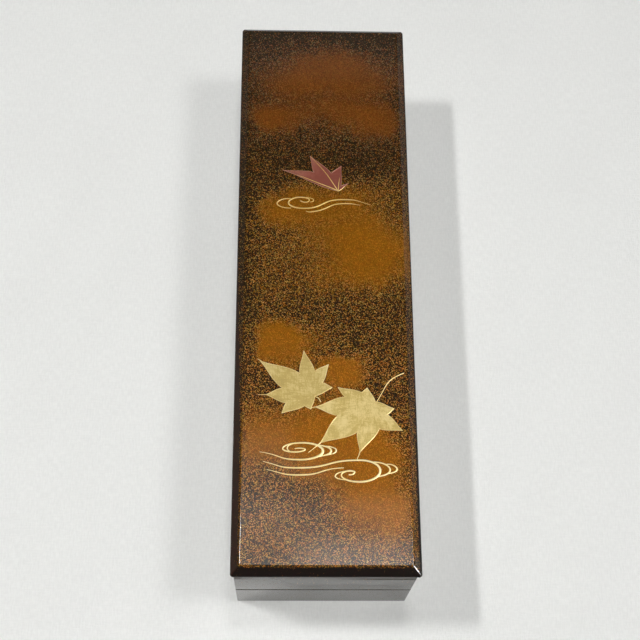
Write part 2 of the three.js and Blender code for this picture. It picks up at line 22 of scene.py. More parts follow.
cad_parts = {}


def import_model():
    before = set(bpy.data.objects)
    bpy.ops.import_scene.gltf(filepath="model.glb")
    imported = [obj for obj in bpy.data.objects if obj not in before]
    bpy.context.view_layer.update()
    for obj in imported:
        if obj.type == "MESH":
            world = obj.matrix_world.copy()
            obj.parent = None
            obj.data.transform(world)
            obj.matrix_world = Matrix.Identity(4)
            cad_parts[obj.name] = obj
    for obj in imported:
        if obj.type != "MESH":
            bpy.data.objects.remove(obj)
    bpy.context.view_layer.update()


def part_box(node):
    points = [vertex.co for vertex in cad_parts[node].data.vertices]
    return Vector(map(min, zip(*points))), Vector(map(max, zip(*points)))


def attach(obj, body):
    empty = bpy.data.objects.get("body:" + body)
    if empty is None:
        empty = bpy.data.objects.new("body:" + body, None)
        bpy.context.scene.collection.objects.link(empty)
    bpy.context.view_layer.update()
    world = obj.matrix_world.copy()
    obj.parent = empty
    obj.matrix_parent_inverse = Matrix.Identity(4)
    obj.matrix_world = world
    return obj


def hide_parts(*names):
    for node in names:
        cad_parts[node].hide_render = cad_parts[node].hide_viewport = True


log = logging.getLogger("writing_box")

MM = 0.001
# Points closer together than this become one.
WELD = 1e-6

Colour = tuple[float, float, float]
Flat = tuple[float, float]
Triple = tuple[float, float, float]


# Node graphs


class Value:
    """A node's output, with the sums and functions that it can stand in."""

    def __init__(self, graph: Graph, socket: bpy.types.NodeSocket) -> None:
        """Wraps one output socket of a graph."""
        self.graph = graph
        self.socket = socket

    def __add__(self, other: Number) -> Value:
        """This plus other."""
        return self.graph.math("ADD", self, other)

    __radd__ = __add__

    def __sub__(self, other: Number) -> Value:
        """This less other."""
        return self.graph.math("SUBTRACT", self, other)

    def __rsub__(self, other: Number) -> Value:
        """Other less this."""
        return self.graph.math("SUBTRACT", other, self)

    def __mul__(self, other: Number) -> Value:
        """This times other."""
        return self.graph.math("MULTIPLY", self, other)

    __rmul__ = __mul__

    def __truediv__(self, other: Number) -> Value:
        """This over other."""
        return self.graph.math("DIVIDE", self, other)

    def __mod__(self, other: Number) -> Value:
        """What is left of this after whole steps of other."""
        return self.graph.math("FLOORED_MODULO", self, other)

    def floor(self) -> Value:
        """The whole number at or under this."""
        return self.graph.math("FLOOR", self)

    def cosine(self) -> Value:
        """Cosine of this angle."""
        return self.graph.math("COSINE", self)

    def sine(self) -> Value:
        """Sine of this angle."""
        return self.graph.math("SINE", self)

    def sign(self) -> Value:
        """-1, 0 or 1."""
        return self.graph.math("SIGN", self)

    def size(self) -> Value:
        """This without its sign."""
        return self.graph.math("ABSOLUTE", self)

    def at_least(self, other: Number) -> Value:
        """The larger of this and other."""
        return self.graph.math("MAXIMUM", self, other)

    def at_most(self, other: Number) -> Value:
        """The smaller of this and other."""
        return self.graph.math("MINIMUM", self, other)

    def below(self, other: Number) -> Value:
        """1 where this is under other, else 0."""
        return self.graph.math("LESS_THAN", self, other)

    def ramp(self, low: float, high: float) -> Value:
        """A smooth rise from 0 at low to 1 at high; a fall where low is the larger.

        Args:
            low: where it is 0.
            high: where it is 1.

        Returns:
            The ramp, from 0 to 1.
        """
        return self.graph.value(
            "ShaderNodeMapRange",
            "Result",
            {"interpolation_type": "SMOOTHSTEP"},
            {"Value": self, "From Min": low, "From Max": high},
        )

    def between(self, low: Number, high: Number) -> Value:
        """Low where this is 0 and high where it is 1."""
        return self * (high - low) + low

    def xyz(self) -> tuple[Value, Value, Value]:
        """The three parts of this vector."""
        split = self.graph.node("ShaderNodeSeparateXYZ", None, {0: self})
        return tuple(Value(self.graph, output) for output in split.outputs)

    def less(self, other: Value | Sequence[float]) -> Value:
        """This vector less another."""
        return self.graph.vector("SUBTRACT", self, other)

    def scaled(self, other: Value | Sequence[float]) -> Value:
        """This vector times another, part by part."""
        return self.graph.vector("MULTIPLY", self, other)

    def length(self) -> Value:
        """The length of this vector."""
        return self.graph.value("ShaderNodeVectorMath", "Value", {"operation": "LENGTH"}, {0: self})


Number = Union[Value, float, int]


class Graph:
    """A node tree that is written as one call for each node, and as sums on their sockets."""

    def __init__(self, tree: bpy.types.NodeTree) -> None:
        """Takes over an empty tree."""
        self.tree = tree

    def node(
        self,
        kind: str,
        settings: Mapping[str, object] | None = None,
        sockets: Mapping[str | int, object] | None = None,
    ) -> bpy.types.Node:
        """Adds one node.

        Args:
            kind: the node's type.
            settings: its own settings, set first; "stops" are a ramp's or a curve's.
            sockets: values or links of its inputs, by identifier, name or place.

        Returns:
            The new node.
        """
        made = self.tree.nodes.new(kind)
        for name, setting in (settings or {}).items():
            if name == "stops":
                self._set_stops(made, setting)
            else:
                setattr(made, name, setting)
        for key, fed in (sockets or {}).items():
            self._feed(self._socket(made.inputs, key), fed)
        return made

    def value(
        self,
        kind: str,
        output: str | int,
        settings: Mapping[str, object] | None = None,
        sockets: Mapping[str | int, object] | None = None,
    ) -> Value:
        """Adds one node, as node does, and gives its output of this identifier, name or place."""
        return Value(self, self._socket(self.node(kind, settings, sockets).outputs, output))

    def math(self, operation: str, *terms: Number) -> Value:
        """A Math node on one, two or three numbers."""
        return self.value("ShaderNodeMath", 0, {"operation": operation}, dict(enumerate(terms)))

    def vector(self, operation: str, *terms: object) -> Value:
        """A Vector Math node on vectors."""
        return self.value("ShaderNodeVectorMath", 0, {"operation": operation}, dict(enumerate(terms)))

    def joined(self, x: Number, y: Number, z: Number) -> Value:
        """A vector of three numbers."""
        return self.value("ShaderNodeCombineXYZ", 0, None, {0: x, 1: y, 2: z})

    def mixed(self, share: Number, under: Value | Colour, over: Value | Colour) -> Value:
        """Colour under where share is 0, and over where it is 1.

        Args:
            share: from 0 to 1.
            under: one colour.
            over: the other.

        Returns:
            The mixed colour.
        """
        return self.value(
            "ShaderNodeMix",
            "Result_Color",
            {"data_type": "RGBA"},
            {"Factor_Float": share, "A_Color": under, "B_Color": over},
        )

    @staticmethod
    def _socket(sockets: Sequence[bpy.types.NodeSocket], key: str | int) -> bpy.types.NodeSocket:
        """The socket with this place, identifier or name.

        Args:
            sockets: a node's inputs or outputs.
            key: place, identifier or name.

        Returns:
            The socket.
        """
        if isinstance(key, int):
            return sockets[key]
        by_identifier = [socket for socket in sockets if socket.identifier == key]
        return by_identifier[0] if by_identifier else sockets[key]

    def _feed(self, socket: bpy.types.NodeSocket, fed: object) -> None:
        """Links an output to a socket, or sets the socket's own value.

        Args:
            socket: an input.
            fed: an output to link, or the value to set.
        """
        if isinstance(fed, Value):
            self.tree.links.new(fed.socket, socket)
        elif socket.type == "RGBA":
            socket.default_value = (*fed, 1.0)
        else:
            socket.default_value = fed

    @staticmethod
    def _set_stops(made: bpy.types.Node, stops: Sequence[tuple]) -> None:
        """Sets the stops of a colour ramp, or the points of a float curve.

        Args:
            made: the node.
            stops: pairs of place and colour for a ramp, of place and height for a curve.
        """
        if made.bl_idname == "ShaderNodeFloatCurve":
            points = made.mapping.curves[0].points
            while len(points) < len(stops):
                points.new(0.5, 0.5)
            for point, stop in zip(points, stops):
                point.location = stop
            made.mapping.update()
            return
        elements = made.color_ramp.elements
        while len(elements) < len(stops):
            elements.new(0.5)
        for element, (place, colour) in zip(elements, stops):
            element.position = place
            element.color = (*colour, 1.0)


class Paint(Graph):
    """The nodes of one material. Its place vector is the box's own coordinates, in metres."""

    def __init__(self, name: str) -> None:
        """Starts an empty material.

        Args:
            name: the material's name.
        """
        self.material = bpy.data.materials.new(name)
        self.material.use_nodes = True
        super().__init__(self.material.node_tree)
        self.tree.nodes.clear()
        self.place = self.value("ShaderNodeTexCoord", "Object")

    def about(self, centre: Flat) -> Value:
        """The flat place measured from a centre in millimetres."""
        return self.place.scaled((1, 1, 0)).less((centre[0] * MM, centre[1] * MM, 0))

    def noise(
        self,
        feature: float,
        detail: float = 2.0,
        stretch: Sequence[float] = (1, 1, 1),
        where: Value | None = None,
    ) -> Value:
        """Noise from 0 to 1, read at where: feature is its size in metres, times stretch on each axis."""
        scale = tuple(1 / (feature * long) for long in stretch)
        return self._noise(0, (where or self.place).scaled(scale), detail)

    def _noise(self, output: str | int, where: Value, detail: float) -> Value:
        """One output of a noise node on a vector that is scaled already."""
        sockets = {"Vector": where, "Scale": 1.0, "Detail": detail}
        return self.value("ShaderNodeTexNoise", output, {"noise_dimensions": "3D"}, sockets)

    def drifted(self, feature: float, reach: float, where: Value | None = None) -> Value:
        """The place pushed about by slow noise.

        Args:
            feature: size of the noise's features, in metres.
            reach: the furthest push, in metres.
            where: the vector that is pushed, or none for the place.

        Returns:
            The new vector.
        """
        start = where or self.place
        noise = self._noise("Color", start.scaled((1 / feature,) * 3), 3.0)
        push = noise.less((0.5, 0.5, 0.5)).scaled((4 * reach, 4 * reach, 0))
        return self.vector("ADD", start, push)

    def grains(self, size: float, where: Value | None = None) -> tuple[Value, Value, Value]:
        """Cells with a random draw each.

        Args:
            size: width of a cell, in metres.
            where: the vector that they read, or none for the place.

        Returns:
            Two draws from 0 to 1 for each cell, and the distance from its middle in cells.
        """
        cells = self.node(
            "ShaderNodeTexVoronoi",
            {"feature": "F1"},
            {"Vector": (where or self.place).scaled((1 / size,) * 3), "Scale": 1.0},
        )
        first, second, _ = Value(self, cells.outputs["Color"]).xyz()
        return first, second, Value(self, cells.outputs["Distance"])

    def finish(
        self,
        colour: Value | Colour,
        roughness: Number,
        metallic: Number = 0.0,
        relief: Value | None = None,
        relief_depth: float = 0.0,
        coat: Number = 0.0,
        **constants: object,
    ) -> bpy.types.Material:
        """Ends the material in one Principled surface.

        Args:
            colour: base colour.
            roughness: of the base.
            metallic: of the base.
            relief: height from 0 to 1 for the bump, or none.
            relief_depth: depth of that relief, in metres.
            coat: weight of the clear coat.
            constants: other sockets' values, with underscores for the spaces in their names.

        Returns:
            The material.
        """
        sockets = {
            "Base Color": colour,
            "Roughness": roughness,
            "Metallic": metallic,
            "Coat Weight": coat,
        }
        if relief is not None:
            bump = {"Height": relief, "Distance": relief_depth, "Strength": 1.0}
            sockets["Normal"] = self.value("ShaderNodeBump", 0, None, bump)
        sockets.update({name.replace("_", " "): value for name, value in constants.items()})
        surface = self.node("ShaderNodeBsdfPrincipled", None, sockets)
        output = self.node("ShaderNodeOutputMaterial")
        self.tree.links.new(surface.outputs[0], output.inputs["Surface"])
        return self.material


# Finishes


@dataclass(frozen=True)
class Patch:
    """A place on the top where the powder thickens or thins, in millimetres."""

    x: float
    y: float
    reach_x: float
    reach_y: float
    density: float


@dataclass(frozen=True)
class SprinkledLacquer:
    """Glossy black-brown lacquer with bronze powder sprinkled into it.

    Attributes:
        name: the material's name.
        patches: places where the powder thickens or thins.
        density: share of the surface that powder covers where there is no patch.
        grain: width of a grain.
        ground: the bare lacquer, as is edge_ground at the edges; left_lit_ground is a lighter edge ground
            at the left one, painted light.
        far_powder_shaded: the powder at the far end, its own browner hue darkened there by painted shade;
            middle_powder and near_powder are nearer.
        far_glint_shaded: single pale grains at the far end, painted glints dimmed there by painted shade;
            middle_glint and near_glint are nearer, painted glints too.
        turns: places along the box, from 0 to 1, between which those colours turn.
        turn_waver: feature and reach of the noise that makes the turns uneven.
        unevenness: size of the slow changes in the powder's density.
        slow_waver: feature and reach of what makes the patches' outlines ragged, and quick_waver.
        patch_edge: distances from a patch's middle, in its own reaches, where it begins and is full.
        closing: shares of powder between which single grains close into haze.
        haze_cover: how much of the ground closed powder hides.
        grain_share: share of the grains that are drawn, for each share of powder.
        fade_height: height over which the powder thins out on a bevel.
        ragged: feature and depth of the unevenness of that line.
        near_end: depth under the top where the powder ends on the near bevel; left_end and right_end
            are for the near half of the side bevels, and side_end for their far half.
        side_starts: places on the left and the right bevel from which it ends ever lower, over side_run.
        dull_line: z of a faint dull line across the near wall, stronger towards the right.
        seam: z of the seam between lid and base, which dulls the coat beside it.
        half_length: half the box's length, and half_width half its width.
        bevel_width: width of the bevel seen from above.
    """

    name: str
    patches: tuple[Patch, ...] = ()
    density: float = 0.45
    grain: float = 0.3 * MM
    ground: Colour = (0.017, 0.009, 0.0012)
    edge_ground: Colour = (0.019, 0.012, 0.0095)
    # Painted light: the left bevel's ground is lighter than the right's, as if lit from the left.
    left_lit_ground: Colour = (0.050, 0.026, 0.017)
    # The far powder is darker partly as painted shade of the far end; the grains are paler gold painted
    # as glints, dimmed towards the far end as painted shade.
    far_powder_shaded: Colour = (0.194, 0.058, 0.004)
    middle_powder: Colour = (0.275, 0.096, 0.001)
    near_powder: Colour = (0.298, 0.102, 0.004)
    far_glint_shaded: Colour = (0.17, 0.15, 0.09)
    middle_glint: Colour = (0.42, 0.28, 0.088)
    near_glint: Colour = (0.48, 0.28, 0.08)
    turns: tuple[float, ...] = (0.12, 0.34, 0.40, 0.66, 0.78)
    turn_waver: Flat = (30 * MM, 12 * MM)
    unevenness: float = 24 * MM
    slow_waver: Flat = (30 * MM, 6 * MM)
    quick_waver: Flat = (8 * MM, 2.2 * MM)
    patch_edge: Flat = (1.6, 0.05)
    closing: Flat = (0.42, 0.90)
    haze_cover: float = 0.88
    grain_share: float = 0.66
    fade_height: float = 1.2 * MM
    ragged: Flat = (0.9 * MM, 0.7 * MM)
    near_end: float = 1.1 * MM
    left_end: float = 1.3 * MM
    right_end: float = 3.2 * MM
    side_end: float = 4.3 * MM
    side_starts: Flat = (-85 * MM, -122 * MM)
    side_run: float = 110 * MM
    dull_line: float = 53.3 * MM
    seam: float = 28.5 * MM
    half_length: float = 136 * MM
    half_width: float = 40 * MM
    bevel_width: float = 3.7 * MM

    def spread(self, paint: Paint) -> Value:
        """Lays the powder, patch upon patch.

        Args:
            paint: the material's nodes.

        Returns:
            Share of the surface that the powder covers.
        """
        covered = paint.noise(self.unevenness, 2).between(self.density * 0.5, self.density * 1.5)
        place = paint.drifted(*self.slow_waver, paint.drifted(*self.quick_waver))
        for patch in self.patches:
            reach = (1 / (patch.reach_x * MM), 1 / (patch.reach_y * MM), 0)
            away = place.less((patch.x * MM, patch.y * MM, 0)).scaled(reach).length()
            share = away.ramp(*self.patch_edge)
            covered = covered * (1 - share) + share * patch.density
        return covered

    def turning(self, paint: Paint, near: Colour, middle: Colour, far: Colour) -> Value:
        """A colour that turns along the box.

        Args:
            paint: the material's nodes.
            near: the colour at the near end.
            middle: the colour round the middle.
            far: the colour at the far end.

        Returns:
            The colour.
        """
        # Towards the far end the colours darken, partly as painted shade.
        _, y, _ = paint.drifted(*self.turn_waver).xyz()
        stops = tuple(zip(self.turns, (near, near, middle, middle, far)))
        along = y / (2 * self.half_length) + 0.5
        return paint.value("ShaderNodeValToRGB", "Color", {"stops": stops}, {"Fac": along})

    def beside(self, paint: Paint) -> Value:
        """1 on the sides of the box and 0 at its ends."""
        x, y, _ = paint.place.xyz()
        return (x.size() - y.size() + (self.half_length - self.half_width)).ramp(-0.3 * MM, 0.3 * MM)

    def edge_fade(self, paint: Paint, top: float) -> Value:
        """Share of the powder that is left towards the edge, ragged where it ends.

        Args:
            paint: the material's nodes.
            top: z of the top.

        Returns:
            0 at the edge and 1 on the top. It ends high on the near bevel and low on the side bevels.
        """
        x, y, z = paint.place.xyz()
        right = x.ramp(-1 * MM, 1 * MM)
        half_end = right.between(self.left_end, self.right_end)
        lowers = (y - right.between(*self.side_starts)).ramp(0.0, self.side_run)
        side = lowers.between(half_end, self.side_end)
        end = top - self.beside(paint).between(self.near_end, side)
        feature, depth = self.ragged
        return (z + (paint.noise(feature, 1) - 0.5) * depth - end).ramp(0.0, self.fade_height)

    def sprinkle(self, paint: Paint, fade: Number = 1.0) -> tuple[Value, Value, Value]:
        """Draws the grains.

        Args:
            paint: the material's nodes.
            fade: share of the powder that is left towards an edge.

        Returns:
            The colour, the share of powder at each point and a draw for each grain.
        """
        covered = self.spread(paint) * fade
        draw, tone, _ = paint.grains(self.grain)
        haze = covered.ramp(*self.closing)
        grain = (covered.at_most(0.9) * self.grain_share - draw).ramp(-0.03, 0.03)
        # Both colours darken towards the far end, partly as painted shade; glint_powder is the paler gold
        # of the grains painted as glints.
        powder = self.turning(paint, self.near_powder, self.middle_powder, self.far_powder_shaded)
        glint_powder = self.turning(paint, self.near_glint, self.middle_glint, self.far_glint_shaded)
        # left: the left bevel, whose ground is lightened as painted light.
        left = self.beside(paint) * paint.place.xyz()[0].ramp(1 * MM, -1 * MM)
        ground = paint.mixed(fade, paint.mixed(left, self.edge_ground, self.left_lit_ground), self.ground)
        closed = powder.scaled(covered.ramp(0.5, 1.0).between(0.62, 0.85))
        bed = paint.mixed(haze * self.haze_cover, ground, closed)
        body = powder.scaled(haze.between(1.2, 1.0) + (tone - 0.5) * haze.between(0.9, 0.95))
        # pale: the share of the grains that are painted as glints.
        pale = (tone - 0.35).at_least(0.0) * haze.between(1.3, 0.1)
        warmth = (paint.noise(2.2 * MM, 2).ramp(0.35, 0.65) - 0.5) * haze.between(0.16, 0.06)
        # Painted shade on the bevel: bevel_shade darkens the colour by up to 0.4 where the powder fades
        # out, and mottle and cast carry it along with the random mottling and warmth.
        bevel_shade = 1 - (1 - fade) * 0.4
        mottle = paint.noise(11 * MM, 4).between(0.84, 1.16) * bevel_shade
        cast = paint.joined((warmth + 1) * mottle, (1 - warmth) * mottle, mottle)
        colour = paint.mixed(grain, bed, paint.mixed(pale, body, glint_powder)).scaled(cast)
        return colour, grain.at_least(haze * self.haze_cover), tone

    def wall_dulling(self, paint: Paint) -> tuple[Value, Value]:
        """A faint dull line across the near wall, and painted shade under the lid's lip.

        Args:
            paint: the material's nodes.

        Returns:
            Strength of the dull line with the painted shade under the lip, and weight of the coat beside
            it, both from 0 to 1.
        """
        x, y, z = paint.place.xyz()
        near_wall = y.ramp(-120 * MM, -130 * MM)
        line = (z - self.dull_line).size().ramp(1.7 * MM, 0.7 * MM) * x.ramp(0.0, 24 * MM) * near_wall
        # Painted shade: a dulled band under the lid's lip, towards the left, stands in for the shade that
        # the lip casts on the wall.
        lip_shade = z.ramp(50 * MM, 54 * MM) * x.ramp(-26 * MM, -38 * MM)
        dull_line = line.at_least(lip_shade * 0.4)
        # The coat is fuller towards the left, which brightens the wall's reflection there as painted
        # light.
        return dull_line, (1 - dull_line * 0.9) * x.ramp(-8 * MM, -36 * MM).between(0.84, 1.0)

    def bevel_coat(self, paint: Paint, top: float) -> Value:
        """The coat: full on the top, thin on the bevel but for a bright spot at its near right corner.

        Args:
            paint: the material's nodes.
            top: z of the top.

        Returns:
            The weight, from 0 to 1.
        """
        x, _, z = paint.place.xyz()
        mitre = (self.half_width - self.bevel_width, self.bevel_width - self.half_length)
        away = paint.about(tuple(part / MM for part in mitre)).length()
        spot = away.ramp(7 * MM, 3 * MM) * z.ramp(top - 3.4 * MM, top - 1.8 * MM)
        bevel = spot.at_least(x.ramp(1 * MM, -1 * MM).between(0.08, 0.2))
        return z.ramp(top - 1.3 * MM, top - 0.1 * MM).between(bevel, 1.0)

    def material(self, top: float | None = None) -> bpy.types.Material:
        """The finished material.

        Args:
            top: z of a top whose powder thins out towards the edge, or none for a wall.

        Returns:
            The material.
        """
        paint = Paint(self.name)
        if top is None:
            colour, mask, tone = self.sprinkle(paint)
            # On a wall, dull_line holds the faint line and the painted shade under the lip, and coat the
            # painted light towards the left.
            dull_line, coat = self.wall_dulling(paint)
        else:
            colour, mask, tone = self.sprinkle(paint, self.edge_fade(paint, top))
            dull_line, coat = 0.0, self.bevel_coat(paint, top)
        _, _, z = paint.place.xyz()
        shut = (z - self.seam).size().ramp(1.3 * MM, 0.6 * MM) * 0.8
        coat = coat * paint.noise(34 * MM, 0).ramp(0.2, 0.8).between(0.9, 1.0)
        return paint.finish(
            colour,
            mask.between(0.4, 0.5) + shut * 0.4 + dull_line * 0.35,
            metallic=mask * 0.55,
            relief=mask * tone,
            relief_depth=0.03 * MM,
            coat=(1 - shut) * coat,
            Coat_Roughness=0.08,
            Coat_IOR=1.5,
            Specular_IOR_Level=0.08,
        )


@dataclass(frozen=True)
class PlainLacquer:
    """Black-brown lacquer of the inside, rubbed by use, with a few stray grains of powder."""

    name: str = "black_lacquer"
    ground: Colour = (0.014, 0.010, 0.009)
    rubbed: Colour = (0.050, 0.026, 0.016)
    powder: Colour = (0.30, 0.15, 0.05)

    def material(self) -> bpy.types.Material:
        """The finished material.

        Returns:
            The material.
        """
        paint = Paint(self.name)
        wear = paint.noise(22 * MM, 4).ramp(0.45, 0.8)
        strokes = paint.noise(1.6 * MM, 3, (0.5, 14, 0.5))
        draw, tone, _ = paint.grains(0.5 * MM)
        stray = draw.below(0.035) * tone
        body = paint.mixed(wear * 0.5 + strokes * 0.2, self.ground, self.rubbed)
        return paint.finish(
            paint.mixed(stray, body, self.powder),
            (wear * 0.16 + strokes * 0.08 + 0.18).at_most(0.5),
            metallic=stray * 0.6,
            relief=strokes,
            relief_depth=0.02 * MM,
            coat=0.5,
            Coat_Roughness=0.2,
            Specular_IOR_Level=0.4,
        )


@dataclass(frozen=True)
class GoldPowder:
    """Gold powder burnished on lacquer, brushed out from a point.

    Attributes:
        name: the material's name.
        centre: that point, in millimetres.
        burnish: brightness, and contrast that of its mottling.
        metallic: share of metal.
        body: the gold, as are bright where it is rubbed and dull where it is thin.
    """

    name: str
    centre: Flat = (0.0, 0.0)
    burnish: float = 1.0
    contrast: float = 1.0
    metallic: float = 0.5
    body: Colour = (0.65, 0.475, 0.145)
    bright: Colour = (0.82, 0.67, 0.31)
    dull: Colour = (0.49, 0.36, 0.11)

    def material(self) -> bpy.types.Material:
        """The finished material.

        Returns:
            The material.
        """
        paint = Paint(self.name)
        from_centre = paint.about(self.centre)
        x, y, _ = from_centre.xyz()
        spoke = paint.math("ARCTAN2", y, x)
        out = from_centre.length()
        rays = paint.noise(1.0, 4, where=paint.joined(spoke * 9, out * 160, 0))
        cloudy = paint.noise(5 * MM, 3)
        fine = paint.noise(0.4 * MM, 2)
        scratches = paint.noise(0.45 * MM, 2, (9, 1, 1)).at_most(paint.noise(0.45 * MM, 2, (1, 9, 1)))
        strokes = rays * 0.2 + cloudy * 0.35 + fine * 0.2 + scratches * 0.3
        shade = ((strokes - 0.49) * self.contrast + 0.49).ramp(0.3, 0.68)
        low = paint.mixed(shade, self.dull, self.body)
        gold = paint.mixed((shade - 0.5).at_least(0.0) * 1.4, low, self.bright)
        return paint.finish(
            gold.scaled((self.burnish,) * 3),
            shade.between(0.52, 0.4),
            metallic=self.metallic,
            relief=scratches * 0.6 + fine * 0.4,
            relief_depth=0.03 * MM,
            Specular_IOR_Level=0.5,
        )


@dataclass(frozen=True)
class RedGlaze:
    """Red powder glaze of the half leaf, thinning to the lacquer under it towards the tips."""

    lacquer: SprinkledLacquer
    base: Flat
    reach: float
    name: str = "red_glaze"
    deep: Colour = (0.19, 0.040, 0.022)
    pale: Colour = (0.37, 0.125, 0.080)

    def material(self) -> bpy.types.Material:
        """The finished material.

        Returns:
            The material.
        """
        paint = Paint(self.name)
        under, mask, tone = self.lacquer.sprinkle(paint)
        out = paint.about(self.base).length() / self.reach
        thin = (out + (paint.noise(6 * MM, 3) - 0.5) * 0.5).ramp(0.35, 1.1)
        draw, _, _ = paint.grains(0.36 * MM)
        covers = 1 - (thin * 0.8 + draw * 0.25).ramp(0.4, 1.1)
        cloud = (thin + (paint.noise(2.2 * MM, 4) - 0.5) * 0.9).at_most(1.0).at_least(0.0)
        glaze = paint.mixed(cloud, self.deep, self.pale)
        return paint.finish(
            paint.mixed(covers * 0.97, under, glaze),
            0.42,
            metallic=mask * (1 - covers) * 0.5,
            relief=tone,
            relief_depth=0.02 * MM,
            coat=0.25,
            Coat_Roughness=0.16,
        )


@dataclass(frozen=True)
class Slate:
    """Honed dark slate with pale veins, stained by ink where the stone is hollow."""

    rim_height: float
    well_depth: float
    name: str = "inkstone"
    body: Colour = (0.036, 0.040, 0.045)
    pale: Colour = (0.085, 0.090, 0.092)
    stain: Colour = (0.010, 0.010, 0.013)

    def material(self) -> bpy.types.Material:
        """The finished material.

        Returns:
            The material.
        """
        paint = Paint(self.name)
        _, _, z = paint.place.xyz()
        mottle = paint.noise(7 * MM, 5)
        vein = (paint.noise(19 * MM, 4, (1, 3, 1)) - 0.5).size().ramp(0.03, 0.0)
        fleck = paint.grains(0.35 * MM)[0].below(0.04)
        stone = paint.mixed(mottle.ramp(0.3, 0.75), self.body, self.pale)
        stone = paint.mixed((vein * 0.5 + fleck * 0.5).at_most(1.0), stone, self.pale)
        depth = (self.rim_height - z) / self.well_depth
        inked = (depth + (paint.noise(4 * MM, 3) - 0.5) * 0.35).ramp(0.1, 0.75)
        return paint.finish(
            paint.mixed(inked * 0.85, stone, self.stain),
            inked.between(0.62, 0.26) + mottle * 0.08,
            relief=mottle * 0.6 + paint.noise(0.3 * MM, 2) * 0.4,
            relief_depth=0.05 * MM,
        )


@dataclass(frozen=True)
class PatinatedCopper:
    """Hammered copper alloy with a brown patina, rubbed bright on its rims."""

    foot: float
    top: float
    name: str = "copper"
    metal: Colour = (0.52, 0.27, 0.15)
    brown: Colour = (0.15, 0.075, 0.045)
    green: Colour = (0.10, 0.14, 0.10)

    def material(self) -> bpy.types.Material:
        """The finished material.

        Returns:
            The material.
        """
        paint = Paint(self.name)
        _, _, z = paint.place.xyz()
        _, tone, dent = paint.grains(2.2 * MM)
        patina = (paint.noise(5 * MM, 5) + tone * 0.12).ramp(0.32, 0.62)
        rubbed = z.ramp(self.top - 1.1 * MM, self.top - 0.2 * MM) * 0.6
        foot = z.ramp(self.foot + 2.5 * MM, self.foot) * paint.noise(2 * MM, 3)
        body = paint.mixed(patina * (1 - rubbed), self.metal, self.brown)
        return paint.finish(
            paint.mixed(foot * 0.7, body, self.green),
            patina.between(0.28, 0.5),
            metallic=(0.95 - foot * 0.5),
            relief=1 - dent,
            relief_depth=0.12 * MM,
        )


@dataclass(frozen=True)
class PressedInk:
    """Soot ink pressed in a wooden mould, with fine mould lines and a dull, worn grinding end."""

    worn_end: float
    name: str = "ink"
    body: Colour = (0.012, 0.012, 0.015)
    dusty: Colour = (0.045, 0.045, 0.050)

    def material(self) -> bpy.types.Material:
        """The finished material.

        Returns:
            The material.
        """
        paint = Paint(self.name)
        _, y, _ = paint.place.xyz()
        lines = paint.noise(0.5 * MM, 2, (1, 30, 1))
        dust = paint.noise(6 * MM, 5).ramp(0.5, 0.75)
        uneven = y + (paint.noise(2 * MM, 2) - 0.5) * 3 * MM
        worn = uneven.ramp(self.worn_end + 7 * MM, self.worn_end + 3 * MM)
        return paint.finish(
            paint.mixed((dust * 0.5 + worn * 0.5 + lines * 0.12).at_most(1.0), self.body, self.dusty),
            (dust * 0.2 + worn * 0.25 + 0.3).at_most(0.75),
            relief=lines,
            relief_depth=0.05 * MM,
        )


@dataclass(frozen=True)
class Bamboo:
    """Polished bamboo with fibres along it and a dark line at each knot."""

    butt: float
    first_knot: float
    knot_spacing: float
    name: str = "bamboo"
    straw: Colour = (0.52, 0.35, 0.14)
    pale: Colour = (0.68, 0.50, 0.25)
    scorched: Colour = (0.16, 0.075, 0.025)

    def material(self) -> bpy.types.Material:
        """The finished material.

        Returns:
            The material.
        """
        paint = Paint(self.name)
        _, y, _ = paint.place.xyz()
        fibres = paint.noise(0.35 * MM, 3, (1, 45, 1))
        bands = paint.noise(9 * MM, 3, (1, 3, 1))
        step = (y - self.butt - self.first_knot) / self.knot_spacing
        from_knot = ((step + 0.5) % 1 - 0.5).size() * self.knot_spacing
        ring = from_knot.ramp(0.9 * MM, 0.35 * MM)
        glow = from_knot.ramp(5 * MM, 0.5 * MM) * 0.25
        flecks = paint.grains(1.3 * MM)[0].below(0.03) * 0.5
        body = paint.mixed(fibres * 0.7 + bands * 0.3, self.straw, self.pale)
        dark = (ring * 0.75 + glow + flecks + (bands - 0.62).at_least(0.0) * 1.2).at_most(1.0)
        return paint.finish(
            paint.mixed(dark, body, self.scorched),
            fibres.between(0.3, 0.42),
            relief=fibres,
            relief_depth=0.04 * MM,
            coat=0.3,
            Coat_Roughness=0.2,
        )


@dataclass(frozen=True)
class Horn:
    """Polished dark horn with amber streaks."""

    name: str = "horn"
    dark: Colour = (0.016, 0.012, 0.011)
    amber: Colour = (0.22, 0.11, 0.045)

    def material(self) -> bpy.types.Material:
        """The finished material.

        Returns:
            The material.
        """
        paint = Paint(self.name)
        streaks = paint.noise(1.8 * MM, 4, (1, 6, 1))
        return paint.finish(
            paint.mixed(streaks.ramp(0.55, 0.8), self.dark, self.amber),
            streaks.between(0.16, 0.3),
            relief=streaks,
            relief_depth=0.02 * MM,
            coat=0.5,
            Coat_Roughness=0.1,
        )


